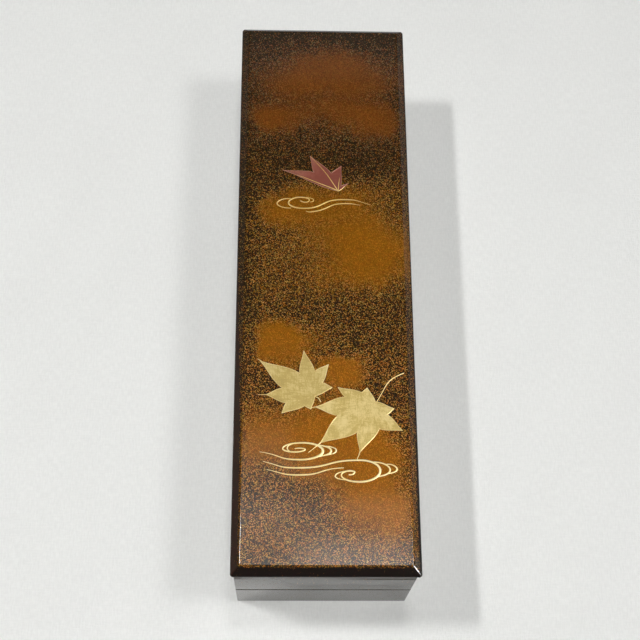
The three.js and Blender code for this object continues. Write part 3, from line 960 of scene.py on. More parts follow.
@dataclass(frozen=True)
class BrushHair:
    """Pale goat hair, browner at the root and greyed by old ink towards the tip."""

    root: float
    tip: float
    name: str = "hair"
    pale: Colour = (0.66, 0.55, 0.38)
    brown: Colour = (0.30, 0.19, 0.10)
    inked: Colour = (0.13, 0.115, 0.105)

    def material(self) -> bpy.types.Material:
        """The finished material.

        Returns:
            The material.
        """
        paint = Paint(self.name)
        _, y, _ = paint.place.xyz()
        strands = paint.noise(0.18 * MM, 2, (1, 40, 1))
        along = (y - self.root) / (self.tip - self.root)
        rooted = (along + (strands - 0.5) * 0.2).ramp(0.25, 0.0)
        stained = (along + (strands - 0.5) * 0.35).ramp(0.6, 1.0)
        body = paint.mixed(strands, self.pale, tuple(part * 0.72 for part in self.pale))
        body = paint.mixed(rooted * 0.6, body, self.brown)
        return paint.finish(
            paint.mixed(stained * 0.7, body, self.inked),
            strands.between(0.45, 0.65),
            relief=strands,
            relief_depth=0.06 * MM,
        )


@dataclass(frozen=True)
class PaleCloth:
    """Plain pale cloth under the box."""

    name: str = "pale_cloth"
    light: Colour = (0.87, 0.873, 0.85)
    shade: Colour = (0.78, 0.783, 0.762)

    def material(self) -> bpy.types.Material:
        """The finished material.

        Returns:
            The material.
        """
        paint = Paint(self.name)
        along, across = (paint.noise(0.7 * MM, 2, stretch) for stretch in ((1, 5, 1), (5, 1, 1)))
        threads = (along * 0.6 + across * 0.4).ramp(0.32, 0.68)
        soft = paint.noise(60 * MM, 2)
        return paint.finish(
            paint.mixed(threads * 0.6 + soft * 0.4, self.light, self.shade),
            0.95,
            relief=threads,
            relief_depth=0.12 * MM,
            Specular_IOR_Level=0.1,
        )


# Shape trees


class ShapeGraph(Graph):
    """A Geometry Nodes tree with named sizes that turns a host object into a plain mesh."""

    def __init__(self, name: str) -> None:
        """Starts the tree with one geometry in and one out, and a finish.

        Args:
            name: the tree's name.
        """
        tree = bpy.data.node_groups.new(name, "GeometryNodeTree")
        super().__init__(tree)
        tree.interface.new_socket("Geometry", in_out="INPUT", socket_type="NodeSocketGeometry")
        tree.interface.new_socket("Geometry", in_out="OUTPUT", socket_type="NodeSocketGeometry")
        self.entry = tree.nodes.new("NodeGroupInput")
        self.exit = tree.nodes.new("NodeGroupOutput")
        self.identifiers: dict[str, str] = {}
        self.host = Value(self, self.entry.outputs[0])
        self.finish = self.input("Finish", "NodeSocketMaterial")

    def input(self, name: str, kind: str = "NodeSocketFloat") -> Value:
        """Adds a named input.

        Args:
            name: its name.
            kind: its socket type.

        Returns:
            Its value inside the tree.
        """
        item = self.tree.interface.new_socket(name, in_out="INPUT", socket_type=kind)
        self.identifiers[name] = item.identifier
        return Value(self, self._socket(self.entry.outputs, item.identifier))

    def grid(self, columns: Number, rows: Number) -> tuple[Value, Value, Value]:
        """A sheet of points to be placed by their column and row.

        Args:
            columns: number of points across.
            rows: number of points up.

        Returns:
            The sheet, and each point's column and row.
        """
        sockets = {"Vertices X": columns, "Vertices Y": rows}
        sheet = self.value("GeometryNodeMeshGrid", "Mesh", None, sockets)
        index = self.value("GeometryNodeInputIndex", 0)
        column = ((index + 0.5) / rows).floor()
        return sheet, column, index - column * rows

    def section_point(self, row: Value) -> tuple[Value, Value, Value]:
        """Reads a point of the host's section.

        Args:
            row: the point's number.

        Returns:
            Its three numbers.
        """
        settings = {"data_type": "FLOAT_VECTOR", "domain": "POINT"}
        place = self.value("GeometryNodeInputPosition", 0)
        sockets = {"Geometry": self.host, "Value": place, "Index": row}
        return self.value("GeometryNodeSampleIndex", "Value", settings, sockets).xyz()

    def host_points(self) -> Value:
        """Number of points of the host's section."""
        settings, sockets = {"component": "MESH"}, {"Geometry": self.host}
        return self.value("GeometryNodeAttributeDomainSize", "Point Count", settings, sockets)

    def moved(self, shape: Value, position: Value) -> Value:
        """A shape with its points at new positions."""
        sockets = {"Geometry": shape, "Position": position}
        return self.value("GeometryNodeSetPosition", 0, None, sockets)

    def swept(self, path: Value, profile: Value, scale: Value) -> Value:
        """A profile carried along a path, with its ends closed."""
        sockets = {"Curve": path, "Profile Curve": profile, "Scale": scale, "Fill Caps": True}
        return self.value("GeometryNodeCurveToMesh", 0, None, sockets)

    def close(self, shape: Value, merge: bool = True) -> None:
        """Ends the tree: smooths the shape, realizes it and gives it the finish.

        Args:
            shape: the shape.
            merge: whether doubled points become one first.
        """
        steps = [
            ("MergeByDistance", {"Distance": WELD}),
            ("SetShadeSmooth", {"Shade Smooth": True}),
            ("RealizeInstances", {}),
            ("SetMaterial", {"Material": self.finish}),
        ]
        for kind, sockets in steps if merge else steps[1:]:
            shape = self.value(f"GeometryNode{kind}", 0, None, {"Geometry": shape, **sockets})
        self.tree.links.new(shape.socket, self.exit.inputs[0])

    def grow(self, host: bpy.types.Object, name: str, **sizes: object) -> bpy.types.Object:
        """Runs the tree on a host and leaves only the plain mesh.

        Args:
            host: the object that the tree reads, which is used up.
            name: the new piece's name.
            sizes: the inputs, by name with underscores for spaces.

        Returns:
            The new piece, at the origin.
        """
        modifier = host.modifiers.new(self.tree.name, "NODES")
        modifier.node_group = self.tree
        for size, value in sizes.items():
            modifier[self.identifiers[size.replace("_", " ")]] = value
        bpy.context.view_layer.update()
        depsgraph = bpy.context.evaluated_depsgraph_get()
        mesh = bpy.data.meshes.new_from_object(host.evaluated_get(depsgraph), depsgraph=depsgraph)
        host.modifiers.remove(modifier)
        bpy.data.objects.remove(host)
        mesh.name = name
        return shown(name, mesh)


class FrameTree(ShapeGraph):
    """Carries an edge section round a rectangle whose corners are rounded."""

    # Keeps the number of a corner from rounding down where it is whole.
    NUDGE = 1e-4

    def __init__(self) -> None:
        """Builds the tree. The host's points are (inset, corner radius, height)."""
        super().__init__("frame_moulding")
        half_width = self.input("Half width")
        half_length = self.input("Half length")
        steps = self.input("Corner steps", "NodeSocketInt")
        closing = self.input("Closed section", "NodeSocketInt")
        count = self.host_points()
        around = 4 * (steps + 1)
        sheet, column, row = self.grid(around + 1, count + closing)
        inset, radius, height = self.section_point(row % count)
        turned = column % around
        corner = (turned / (steps + 1) + self.NUDGE).floor()
        angle = (corner + (turned - corner * (steps + 1)) / steps) * (math.pi / 2)
        facing = (corner + 0.5) * (math.pi / 2)
        x = facing.cosine().sign() * (half_width - inset - radius) + radius * angle.cosine()
        y = facing.sine().sign() * (half_length - inset - radius) + radius * angle.sine()
        self.close(self.moved(sheet, self.joined(x, y, height)))


class TurnedTree(ShapeGraph):
    """Turns a section about an axis along Y."""

    def __init__(self) -> None:
        """Builds the tree. The host's points are (radius, place along Y, 0)."""
        super().__init__("turned_piece")
        axis_x = self.input("Axis X")
        axis_z = self.input("Axis Z")
        segments = self.input("Segments", "NodeSocketInt")
        sheet, column, row = self.grid(segments + 1, self.host_points())
        radius, along, _ = self.section_point(row)
        angle = (column % segments) / segments * (2 * math.pi)
        x, z = axis_x + radius * angle.cosine(), axis_z + radius * angle.sine()
        self.close(self.moved(sheet, self.joined(x, along, z)))


class GoldLineTree(ShapeGraph):
    """Lays a low rounded line along a curve, as wide as the curve's own radius says."""

    def __init__(self) -> None:
        """Builds the tree. The host is a flat curve at the height of the surface."""
        super().__init__("raised_gold_line")
        width = self.input("Width")
        height = self.input("Height")
        half_round = {"Resolution": 7, "Radius": 0.5, "Sweep Angle": math.pi, "Connect Center": True}
        arc = self.value("GeometryNodeCurveArc", "Curve", {"mode": "RADIUS"}, half_round)
        across, up, _ = self.value("GeometryNodeInputPosition", 0).xyz()
        low = self.moved(arc, self.joined(across, up * (-2 * height / width), 0))
        upright = self.value("GeometryNodeSetCurveNormal", 0, {"mode": "Z_UP"}, {"Curve": self.host})
        weight = self.value("GeometryNodeInputRadius", 0)
        self.close(self.swept(upright, low, weight * width), merge=False)


class BristleTree(ShapeGraph):
    """Lays separate hairs over a brush tip, each following the swell of the bundle."""

    HAIRS = 460
    POINTS = 8
    TAPER = 0.7
    SWELL = (
        (0.0, 0.77),
        (0.16, 0.97),
        (0.32, 1.0),
        (0.54, 0.84),
        (0.77, 0.5),
        (0.92, 0.2),
        (1.0, 0.03),
    )

    def __init__(self) -> None:
        """Builds the tree. The host isn't read; the hairs run along +Y."""
        super().__init__("brush_bristles")
        axis_x = self.input("Axis X")
        axis_z = self.input("Axis Z")
        root = self.input("Root Y")
        tip = self.input("Tip Y")
        belly = self.input("Belly radius")
        thickness = self.input("Hair radius")
        line = self.value("GeometryNodeCurvePrimitiveLine", 0, None, {"End": (0, 1, 0)})
        line = self.value("GeometryNodeResampleCurve", 0, None, {"Curve": line, "Count": self.POINTS})
        sockets = {"Geometry": line, "Amount": self.HAIRS}
        copies = self.node("GeometryNodeDuplicateElements", {"domain": "SPLINE"}, sockets)
        strands = Value(self, copies.outputs["Geometry"])
        number = Value(self, copies.outputs["Duplicate Index"])
        angle = number * (math.pi * (3 - math.sqrt(5)))
        along = self.value("GeometryNodeSplineParameter", "Factor") * self._draw(number, 1, 0.9, 1.0)
        swell = self.value("ShaderNodeFloatCurve", 0, {"stops": self.SWELL}, {"Value": along})
        radius = swell * belly * self._draw(number, 2, 0.93, 1.02)
        twist = angle + along * self._draw(number, 3, -0.25, 0.25)
        x = axis_x + radius * twist.cosine()
        z = axis_z + radius * twist.sine()
        strands = self.moved(strands, self.joined(x, root + along * (tip - root), z))
        sockets = {"Resolution": 3, "Radius": 1.0}
        ring = self.value("GeometryNodeCurvePrimitiveCircle", 0, None, sockets)
        self.close(self.swept(strands, ring, (1 - along * self.TAPER) * thickness), merge=False)

    def _draw(self, number: Value, seed: int, low: float, high: float) -> Value:
        """A random draw between low and high for each hair."""
        sockets = {"Min_001": low, "Max_001": high, "ID": number, "Seed": seed}
        return self.value("FunctionNodeRandomValue", "Value_001", {"data_type": "FLOAT"}, sockets)


# Mesh helpers


def shown(name: str, data: bpy.types.ID) -> bpy.types.Object:
    """Puts new data into the scene as an object at the origin.

    Args:
        name: the object's name.
        data: its mesh, curve, lamp or camera.

    Returns:
        The object.
    """
    made = bpy.data.objects.new(name, data)
    bpy.context.scene.collection.objects.link(made)
    return made


def outline_host(points: Sequence[Sequence[float]]) -> bpy.types.Object:
    """An object whose mesh is a bare row of points, for a shape tree to read.

    Args:
        points: three numbers each.

    Returns:
        The object.
    """
    mesh = bpy.data.meshes.new("section")
    mesh.from_pydata([tuple(point) for point in points], [], [])
    return shown("section", mesh)


def eased(corners: Sequence[Triple], closed: bool, steps: int = 8) -> list[Flat]:
    """Rounds the corners of a section.

    Args:
        corners: (inset, height, ease) of each corner, in order.
        closed: whether the last corner joins the first.
        steps: number of stretches in a rounded corner.

    Returns:
        The section's points.
    """
    count = len(corners)
    points: list[Flat] = []
    for i, (inset, height, ease) in enumerate(corners):
        if ease == 0 or (not closed and i in (0, count - 1)):
            points.append((inset, height))
            continue
        corner = Vector((inset, height))
        back = Vector(corners[i - 1][:2]) - corner
        ahead = Vector(corners[(i + 1) % count][:2]) - corner
        start = corner + back.normalized() * min(ease, back.length / 2.1)
        end = corner + ahead.normalized() * min(ease, ahead.length / 2.1)
        for k in range(steps + 1):
            t = k / steps
            point = start * (1 - t) ** 2 + corner * (2 * t * (1 - t)) + end * t**2
            points.append((point.x, point.y))
    return points


def face_outwards(mesh: bpy.types.Mesh) -> None:
    """Turns every face of a closed mesh outwards.

    Args:
        mesh: the mesh.
    """
    work = bmesh.new()
    work.from_mesh(mesh)
    bmesh.ops.recalc_face_normals(work, faces=work.faces)
    work.to_mesh(mesh)
    work.free()


def keep_flats_flat(piece: bpy.types.Object) -> None:
    """Lets the large faces set the shading, so that flats stay flat beside rounded edges.

    Args:
        piece: the piece.
    """
    modifier = piece.modifiers.new("flat_faces", "WEIGHTED_NORMAL")
    modifier.mode = "FACE_AREA"
    modifier.weight = 60


def paint_where(
    piece: bpy.types.Object, finish: bpy.types.Material, test: Callable[[Vector], bool]
) -> None:
    """Gives a second finish to the faces whose middle passes a test.

    Args:
        piece: the piece.
        finish: its second finish.
        test: says yes to a face's middle.
    """
    piece.data.materials.append(finish)
    last = len(piece.data.materials) - 1
    for face in piece.data.polygons:
        if test(face.center):
            face.material_index = last


class Arris(Enum):
    """How the arrises of a copied CAD piece are treated."""

    EASED = "eased"
    CRISP = "crisp"


def merged_copy(node: str, name: str, arris: Arris, ease: float) -> bpy.types.Object:
    """A clean copy of a CAD node, with its triangles merged and its arrises eased.

    Args:
        node: the CAD node.
        name: the new piece's name.
        arris: eased for boards, crisp for a shape that is rounded already.
        ease: width of the eased arrises.

    Returns:
        The copy, not yet dressed.
    """
    source = bpy.data.objects[node].data
    work = bmesh.new()
    work.from_mesh(source)
    bmesh.ops.remove_doubles(work, verts=work.verts, dist=WELD)
    if arris is Arris.EASED:
        flat = math.radians(1)
        bmesh.ops.dissolve_limit(work, angle_limit=flat, verts=work.verts, edges=work.edges)
    work.verts.index_update()
    mesh = bpy.data.meshes.new(name)
    mesh.from_pydata(
        [vert.co.copy() for vert in work.verts],
        [],
        [[vert.index for vert in face.verts] for face in work.faces],
    )
    work.free()
    mesh.shade_smooth()
    piece = shown(name, mesh)
    if arris is Arris.CRISP:
        mesh.set_sharp_from_angle(angle=math.radians(38))
        return piece
    bevel = piece.modifiers.new("eased_arrises", "BEVEL")
    bevel.width = ease
    bevel.segments = 3
    bevel.limit_method = "ANGLE"
    bevel.angle_limit = math.radians(40)
    bevel.use_clamp_overlap = True
    keep_flats_flat(piece)
    return piece


def settle(
    piece: bpy.types.Object,
    body: str,
    finish: bpy.types.Material | None = None,
    replaced: Sequence[str] = (),
) -> bpy.types.Object:
    """Dresses a finished piece and hands it to its body.

    Args:
        piece: the piece, in place.
        body: the CAD body that it rides on.
        finish: its material, or none where it has one.
        replaced: the CAD nodes that it stands for.

    Returns:
        The piece.
    """
    if finish is not None:
        piece.data.materials.clear()
        piece.data.materials.append(finish)
    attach(piece, body)
    if replaced:
        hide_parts(*replaced)
    log.info("%s: %d faces on %s", piece.name, len(piece.data.polygons), body)
    return piece


def around(stem: str) -> tuple[str, str, str, str]:
    """The names of the four boards of a frame."""
    return tuple(f"{stem}_{side}" for side in ("right", "left", "near", "far"))


# Boxes, frames and the top panel


@dataclass
class Box:
    """Corners of one or more CAD nodes."""

    low: Vector
    high: Vector

    @classmethod
    def of(cls, *nodes: str) -> Box:
        """The box round some CAD nodes.

        Args:
            nodes: their names.

        Returns:
            The box.
        """
        corners = [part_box(node) for node in nodes]
        return cls(
            Vector(tuple(min(low[i] for low, _ in corners) for i in range(3))),
            Vector(tuple(max(high[i] for _, high in corners) for i in range(3))),
        )

    @property
    def centre(self) -> Vector:
        """The middle of the box."""
        return (self.low + self.high) / 2


@dataclass
class FrameRing:
    """Four lacquered boards round a rectangle, under one skin of lacquer.

    Attributes:
        name: the piece's name.
        stem: what the names of its four CAD boards begin with.
        body: the CAD body that it rides on.
        slot: the record's material slot; not used.
        corner_radius: radius of its upright corners outside.
        eases: how far each arris is rounded: outside below and above, inside above and below.
    """

    name: str
    stem: str
    body: str
    slot: str
    corner_radius: float
    eases: tuple[float, float, float, float]
    box: Box = field(init=False)
    thickness: float = field(init=False)

    def __post_init__(self) -> None:
        """Takes the sizes from the four CAD boards."""
        self.box = Box.of(*around(self.stem))
        side = Box.of(f"{self.stem}_left")
        self.thickness = side.high.x - side.low.x

    def section(self) -> list[Triple]:
        """The board's section as (inset, corner radius, height).

        Returns:
            Its points, in order.
        """
        low, high, inner = self.box.low.z, self.box.high.z, self.thickness
        places = ((0.0, low), (0.0, high), (inner, high), (inner, low))
        points = eased([(*place, ease) for place, ease in zip(places, self.eases)], True)
        return [(inset, max(self.corner_radius - inset, 0.0), height) for inset, height in points]

    def build(self, tree: FrameTree, outside: bpy.types.Material, inside: bpy.types.Material) -> None:
        """Makes the ring.

        Args:
            tree: the tree that carries the section round.
            outside: finish of the outer faces.
            inside: finish of the inner faces.
        """
        ring = tree.grow(
            outline_host(self.section()),
            self.name,
            Half_width=self.box.high.x,
            Half_length=self.box.high.y,
            Corner_steps=8,
            Closed_section=1,
            Finish=outside,
        )
        face_outwards(ring.data)
        reach = self.box.high - Vector((1, 1, 0)) * self.thickness * 0.7
        paint_where(ring, inside, lambda middle: abs(middle.x) < reach.x and abs(middle.y) < reach.y)
        keep_flats_flat(ring)
        settle(ring, self.body, replaced=around(self.stem))


@dataclass
class TopPanel:
    """The lid's top: a rounded lip, an upright edge band, a bevel and the flat top."""

    bevel_width: float = 3.7 * MM
    bevel_height: float = 4.1 * MM
    lip_round: float = 0.9 * MM
    lip_flat: float = 0.8 * MM
    bevel_ease: float = 0.7 * MM
    corner_radius: float = 1.4 * MM
    least_radius: float = 0.8 * MM
    box: Box = field(default_factory=lambda: Box.of("lid_top_panel"))

    def section(self) -> list[Triple]:
        """Draws the panel's section, from the middle of its underside round the edge to its top.

        Returns:
            Its points as (inset, corner radius, height).
        """
        low, high = self.box.low.z, self.box.high.z
        middle = self.box.high.x
        corners = [
            (middle, low, 0.0),
            (self.lip_round + self.lip_flat, low, 0.0),
            (0.0, low, self.lip_round),
            (0.0, high - self.bevel_height, self.bevel_ease),
            (self.bevel_width, high, self.bevel_ease),
            (middle, high, 0.0),
        ]
        return [(inset, self.radius_at(inset), height) for inset, height in eased(corners, False)]

    def radius_at(self, inset: float) -> float:
        """Radius of the corners at an inset from the edge.

        Args:
            inset: distance from the edge.

        Returns:
            The radius, or 0 on the flat.
        """
        if inset > self.bevel_width * 3:
            return 0.0
        return max(self.corner_radius - inset, self.least_radius)

    def build(self, tree: FrameTree, outside: bpy.types.Material, inside: bpy.types.Material) -> None:
        """Makes the panel.

        Args:
            tree: the tree that carries the section round.
            outside: finish of the top, the bevel and the edge.
            inside: finish of the underside.
        """
        panel = tree.grow(
            outline_host(self.section()),
            "lid_top",
            Half_width=self.box.high.x,
            Half_length=self.box.high.y,
            Corner_steps=10,
            Closed_section=0,
            Finish=outside,
        )
        face_outwards(panel.data)
        underside = self.box.low.z + 0.01 * MM
        paint_where(panel, inside, lambda middle: middle.z < underside)
        keep_flats_flat(panel)
        settle(panel, "lid", replaced=["lid_top_panel"])


# The ornament on the top, in millimetres


@dataclass(frozen=True)
class Knot:
    """A point of a brushed line, with the way that it runs there and its weight."""

    x: float
    y: float
    heading: float
    weight: float = 1.0

    def along(self) -> Vector:
        """The line's direction."""
        angle = math.radians(self.heading)
        return Vector((math.cos(angle), math.sin(angle)))

    def point(self) -> Vector:
        """The knot's place."""
        return Vector((self.x, self.y))


def new_spline(curve: bpy.types.Curve, count: int) -> bpy.types.Spline:
    """Adds a Bezier spline of some points to a curve.

    Args:
        curve: the curve.
        count: number of points.

    Returns:
        The spline.
    """
    spline = curve.splines.new("BEZIER")
    spline.bezier_points.add(count - 1)
    return spline


def place_point(
    point: bpy.types.BezierSplinePoint,
    places: tuple[Vector, Vector, Vector],
    height: float,
    weight: float,
) -> None:
    """Places one point of a spline.

    Args:
        point: the point.
        places: its own place, and those of its handles behind and ahead, in millimetres.
        height: z of all three, in metres.
        weight: the line's weight there.
    """
    point.handle_left_type = point.handle_right_type = "FREE"
    point.co, point.handle_left, point.handle_right = ((*(place * MM), height) for place in places)
    point.radius = weight


class Stroke:
    """One brushed line through its knots, whose handles make a quarter turn a quarter ellipse."""

    ROUNDNESS = 0.5523
    LIFT = -0.02 * MM

    def __init__(self, *knots: Knot) -> None:
        """Takes the knots in order."""
        self.knots = knots

    def add_to(self, curve: bpy.types.Curve, surface: float) -> None:
        """Adds this line to a curve.

        Args:
            curve: the curve.
            surface: z of the lacquer, in metres.
        """
        spline = new_spline(curve, len(self.knots))
        last = len(self.knots) - 1
        for i, (knot, point) in enumerate(zip(self.knots, spline.bezier_points)):
            back = self._reach(knot, self.knots[max(i - 1, 0)])
            ahead = self._reach(knot, self.knots[min(i + 1, last)])
            place, along = knot.point(), knot.along()
            places = (place, place - along * back, place + along * ahead)
            place_point(point, places, surface + self.LIFT, knot.weight)

    def _reach(self, knot: Knot, other: Knot) -> float:
        """Length of a knot's handle towards another knot."""
        return abs((other.point() - knot.point()).dot(knot.along())) * self.ROUNDNESS


UPPER_WATER = (
    Stroke(
        Knot(-28.4, -83.5, -8, 0.3),
        Knot(-11.3, -86.9, 0, 1.0),
        Knot(-1.3, -82.9, 90, 1.6),
        Knot(-10.0, -79.4, 180, 1.0),
        Knot(-18.5, -82.0, 270, 0.75),
        Knot(-13.6, -83.5, 0, 1.0),
        Knot(-8.9, -82.3, 90, 0.75),
        Knot(-11.2, -81.8, 180, 0.8),
        Knot(-13.4, -82.1, 195, 0.5),
    ),
    Stroke(Knot(-14.4, -79.9, 200, 0.6), Knot(-16.5, -81.8, 270, 0.8), Knot(-14.6, -83.5, -15, 0.6)),
    Stroke(Knot(-5.0, -80.1, -8, 0.6), Knot(2.2, -82.8, 270, 1.25), Knot(-3.6, -85.6, 192, 0.7)),
    Stroke(Knot(-0.2, -80.8, -6, 0.5), Knot(4.4, -82.7, 270, 0.9), Knot(0.2, -84.9, 195, 0.5)),
)
LOWER_WATER = (
    Stroke(
        Knot(-26.9, -87.7, -14, 0.3),
        Knot(-12.3, -90.5, 0, 1.0),
        Knot(14.6, -87.0, 0, 1.0),
        Knot(23.1, -91.4, 270, 1.35),
        Knot(14.0, -96.5, 180, 1.15),
        Knot(6.5, -93.6, 90, 0.8),
        Knot(10.2, -91.7, 0, 1.1),
        Knot(12.2, -92.2, 260, 0.9),
        Knot(9.6, -93.4, 172, 0.7),
    ),
    Stroke(Knot(9.4, -91.8, 184, 0.6), Knot(3.9, -94.1, 270, 0.8), Knot(8.4, -95.7, -6, 0.5)),
    Stroke(Knot(20.2, -87.8, 0, 0.7), Knot(27.3, -91.2, 270, 1.0), Knot(21.2, -94.3, 188, 0.8)),
    Stroke(Knot(25.8, -88.8, 10, 0.5), Knot(30.3, -90.9, 270, 0.95), Knot(26.4, -92.9, 192, 0.6)),
    Stroke(Knot(-25.2, -91.3, -12, 0.3), Knot(-11.6, -93.6, 0, 1.0), Knot(7.6, -90.4, 2, 0.45)),
)
FAR_WATER = (
    Stroke(
        Knot(21.4, 36.0, 162, 0.3),
        Knot(8.4, 38.6, 180, 0.9),
        Knot(-9.9, 33.8, 180, 1.05),
        Knot(-16.6, 36.6, 90, 1.1),
        Knot(-11.0, 39.6, 0, 0.9),
        Knot(-6.9, 38.2, 270, 0.8),
        Knot(-8.7, 37.0, 180, 0.9),
        Knot(-11.2, 37.7, 160, 0.6),
    ),
    Stroke(Knot(-8.4, 39.5, -6, 0.5), Knot(-4.9, 38.1, 270, 0.7), Knot(-6.6, 37.1, 190, 0.5)),
    Stroke(Knot(-15.6, 38.9, 178, 0.6), Knot(-21.9, 36.2, 270, 1.0), Knot(-15.4, 33.9, 4, 0.6)),
    Stroke(
        Knot(-8.6, 32.3, -14, 0.4),
        Knot(-6.0, 32.0, 8, 0.9),
        Knot(9.8, 36.5, 0, 0.85),
        Knot(16.8, 35.7, -10, 0.3),
    ),
)
LEAF_THREADS = (
    Stroke(Knot(-27.8, -42.5, 140, 0.9), Knot(-29.9, -41.1, 150, 0.4)),
    Stroke(Knot(-25.0, -57.7, 180, 0.9), Knot(-29.5, -57.7, 180, 0.35)),
    Stroke(Knot(-4.9, -58.4, -12, 0.8), Knot(-2.1, -61.0, -68, 0.9)),
    Stroke(Knot(22.1, -61.0, 58, 0.7), Knot(34.6, -47.3, 22, 0.9)),
    Stroke(Knot(14.6, -83.0, 256, 1.0), Knot(13.1, -87.1, 250, 0.6)),
    Stroke(Knot(-2.2, -79.2, 222, 1.1), Knot(-7.6, -83.8, 220, 0.35)),
    Stroke(Knot(-3.9, -63.2, 184, 1.0), Knot(-6.2, -63.6, 190, 0.5)),
)
RED_VEINS = (
    Stroke(Knot(6.5, 43.2, 154, 1.2), Knot(-4.5, 48.0, 156, 0.9), Knot(-17.5, 53.2, 158, 0.35)),
    Stroke(Knot(6.4, 43.3, 120, 1.1), Knot(-6.3, 61.3, 130, 0.5)),
    Stroke(Knot(6.6, 43.3, 86, 1.1), Knot(8.1, 53.0, 76, 0.3)),
    Stroke(Knot(6.7, 43.2, 32, 1.0), Knot(10.7, 46.8, 48, 0.35)),
)


@dataclass(frozen=True)
class MapleLeaf:
    """A lobed leaf about its stalk.

    Attributes:
        name: the piece's name.
        stalk: where the stalk meets the leaf, in millimetres.
        lobes: each lobe's tip, by bearing in degrees and distance from the stalk in millimetres.
        notches: the same for the notch after each lobe.
        swell: how far a lobe's side swells, as a share of its length.
        draw: how far it draws in near the tip.
        from_stalk: whether the outline begins and ends at the stalk, as on half a leaf.
        burnish: brightness of its gold.
        contrast: contrast of the mottling in its gold.
    """

    LIFT = 0.03 * MM
    SINK = 0.03 * MM
    STEPS = 9

    name: str
    stalk: Flat
    lobes: tuple[Flat, ...]
    notches: tuple[Flat, ...]
    swell: float = 0.1
    draw: float = 0.03
    from_stalk: bool = False
    burnish: float = 1.0
    contrast: float = 1.0

    def at(self, polar: Flat) -> Vector:
        """The point at a bearing in degrees and a distance in millimetres from the stalk."""
        angle, (x, y) = math.radians(polar[0]), self.stalk
        return Vector((x + polar[1] * math.cos(angle), y + polar[1] * math.sin(angle)))

    def sides(self) -> list[tuple[Vector, Vector, Vector, Vector]]:
        """Draws the outline.

        Returns:
            Its cubic stretches, one up and one down each lobe.
        """
        made = []
        count = len(self.lobes)
        for i, lobe in enumerate(self.lobes):
            tip = self.at(lobe)
            before = self.at(self.notches[i - 1] if i or not self.from_stalk else (0, 0))
            closing = self.from_stalk and i == count - 1
            after = self.at((0, 0) if closing else self.notches[i])
            made.append(self._side(before, tip, 1))
            made.append(self._side(after, tip, -1)[::-1])
        return made

    def _side(self, notch: Vector, tip: Vector, hand: int) -> tuple[Vector, Vector, Vector, Vector]:
        """One side of a lobe from its notch to its tip, swelling low and drawn in near the tip.

        Args:
            notch: the lower end.
            tip: the upper end.
            hand: 1 where outwards lies to the right of the way up, -1 where to the left.

        Returns:
            The four points of the cubic.
        """
        chord = tip - notch
        outward = Vector((chord.y, -chord.x)) * hand
        low = notch + chord * 0.35 + outward * self.swell
        high = tip - chord * 0.3 - outward * self.draw
        return notch, low, high, tip

    def plate(self, finish: bpy.types.Material, surface: float, thickness: float) -> bpy.types.Object:
        """The leaf as a thin plate laid on the lacquer.

        Args:
            finish: its material.
            surface: z of the lacquer.
            thickness: how far it stands proud.

        Returns:
            The plate, not yet settled.
        """
        outline = (interpolate_bezier(*side, self.STEPS)[:-1] for side in self.sides())
        flat = [point * MM for stretch in outline for point in stretch]
        count = len(flat)
        verts = [(*point, z) for z in (surface - self.SINK, surface + thickness) for point in flat]
        faces = [[*range(count)][::-1], [*range(count, 2 * count)]]
        faces += [[i, (i + 1) % count, count + (i + 1) % count, count + i] for i in range(count)]
        mesh = bpy.data.meshes.new(self.name)
        mesh.from_pydata(verts, [], faces)
        mesh.materials.append(finish)
        face_outwards(mesh)
        return shown(self.name, mesh)

    def add_to(self, curve: bpy.types.Curve, surface: float) -> None:
        """Adds the leaf's outline to a curve as a closed line.

        Args:
            curve: the curve.
            surface: z of the lacquer, in metres.
        """
        sides = self.sides()
        spline = new_spline(curve, len(sides))
        spline.use_cyclic_u = True
        for i, point in enumerate(spline.bezier_points):
            start, ahead, _, _ = sides[i]
            back = sides[i - 1][2]
            place_point(point, (start, back, ahead), surface + self.LIFT, 1.0)


LEFT_LEAF = MapleLeaf(
    name="gold_leaf_left",
    stalk=(-5.5, -57.7),
    lobes=((22, 9.1), (64, 15.8), (101, 21.0), (146, 28.0), (180, 20.4), (212, 16.0), (262, 6.6)),
    notches=((54, 7.0), (86, 10.9), (120, 11.4), (167, 13.7), (198, 12.2), (234, 6.1), (326, 0.9)),
    burnish=0.86,
    contrast=1.1,
)
RIGHT_LEAF = MapleLeaf(
    name="gold_leaf_right",
    stalk=(20.5, -61.5),
    lobes=((107, 7.5), (154, 16.8), (184, 25.0), (218, 29.2), (255, 22.7), (316, 17.6), (346, 9.5)),
    notches=((133, 6.7), (166, 12.2), (200, 16.2), (242, 14.7), (283, 11.7), (321, 7.8), (39, 1.4)),
    burnish=0.92,
    contrast=1.35,
)
RED_LEAF = MapleLeaf(
    name="red_half_leaf",
    stalk=(6.5, 43.1),
    lobes=((40, 6.3), (83, 13.5), (125, 22.8), (157.5, 28.2)),
    notches=((64, 2.8), (108, 9.9), (139, 14.9)),
    swell=0.07,
    from_stalk=True,
)


@dataclass(frozen=True)
class LineWork:
    """One piece of raised gold line.

    Attributes:
        name: the piece's name.
        marks: the strokes that it draws, or the leaves whose outlines it follows.
        width: its width where the weight is 1, in metres.
        gold: its finish.
    """

    name: str
    marks: tuple[Stroke | MapleLeaf, ...]
    width: float
    gold: GoldPowder


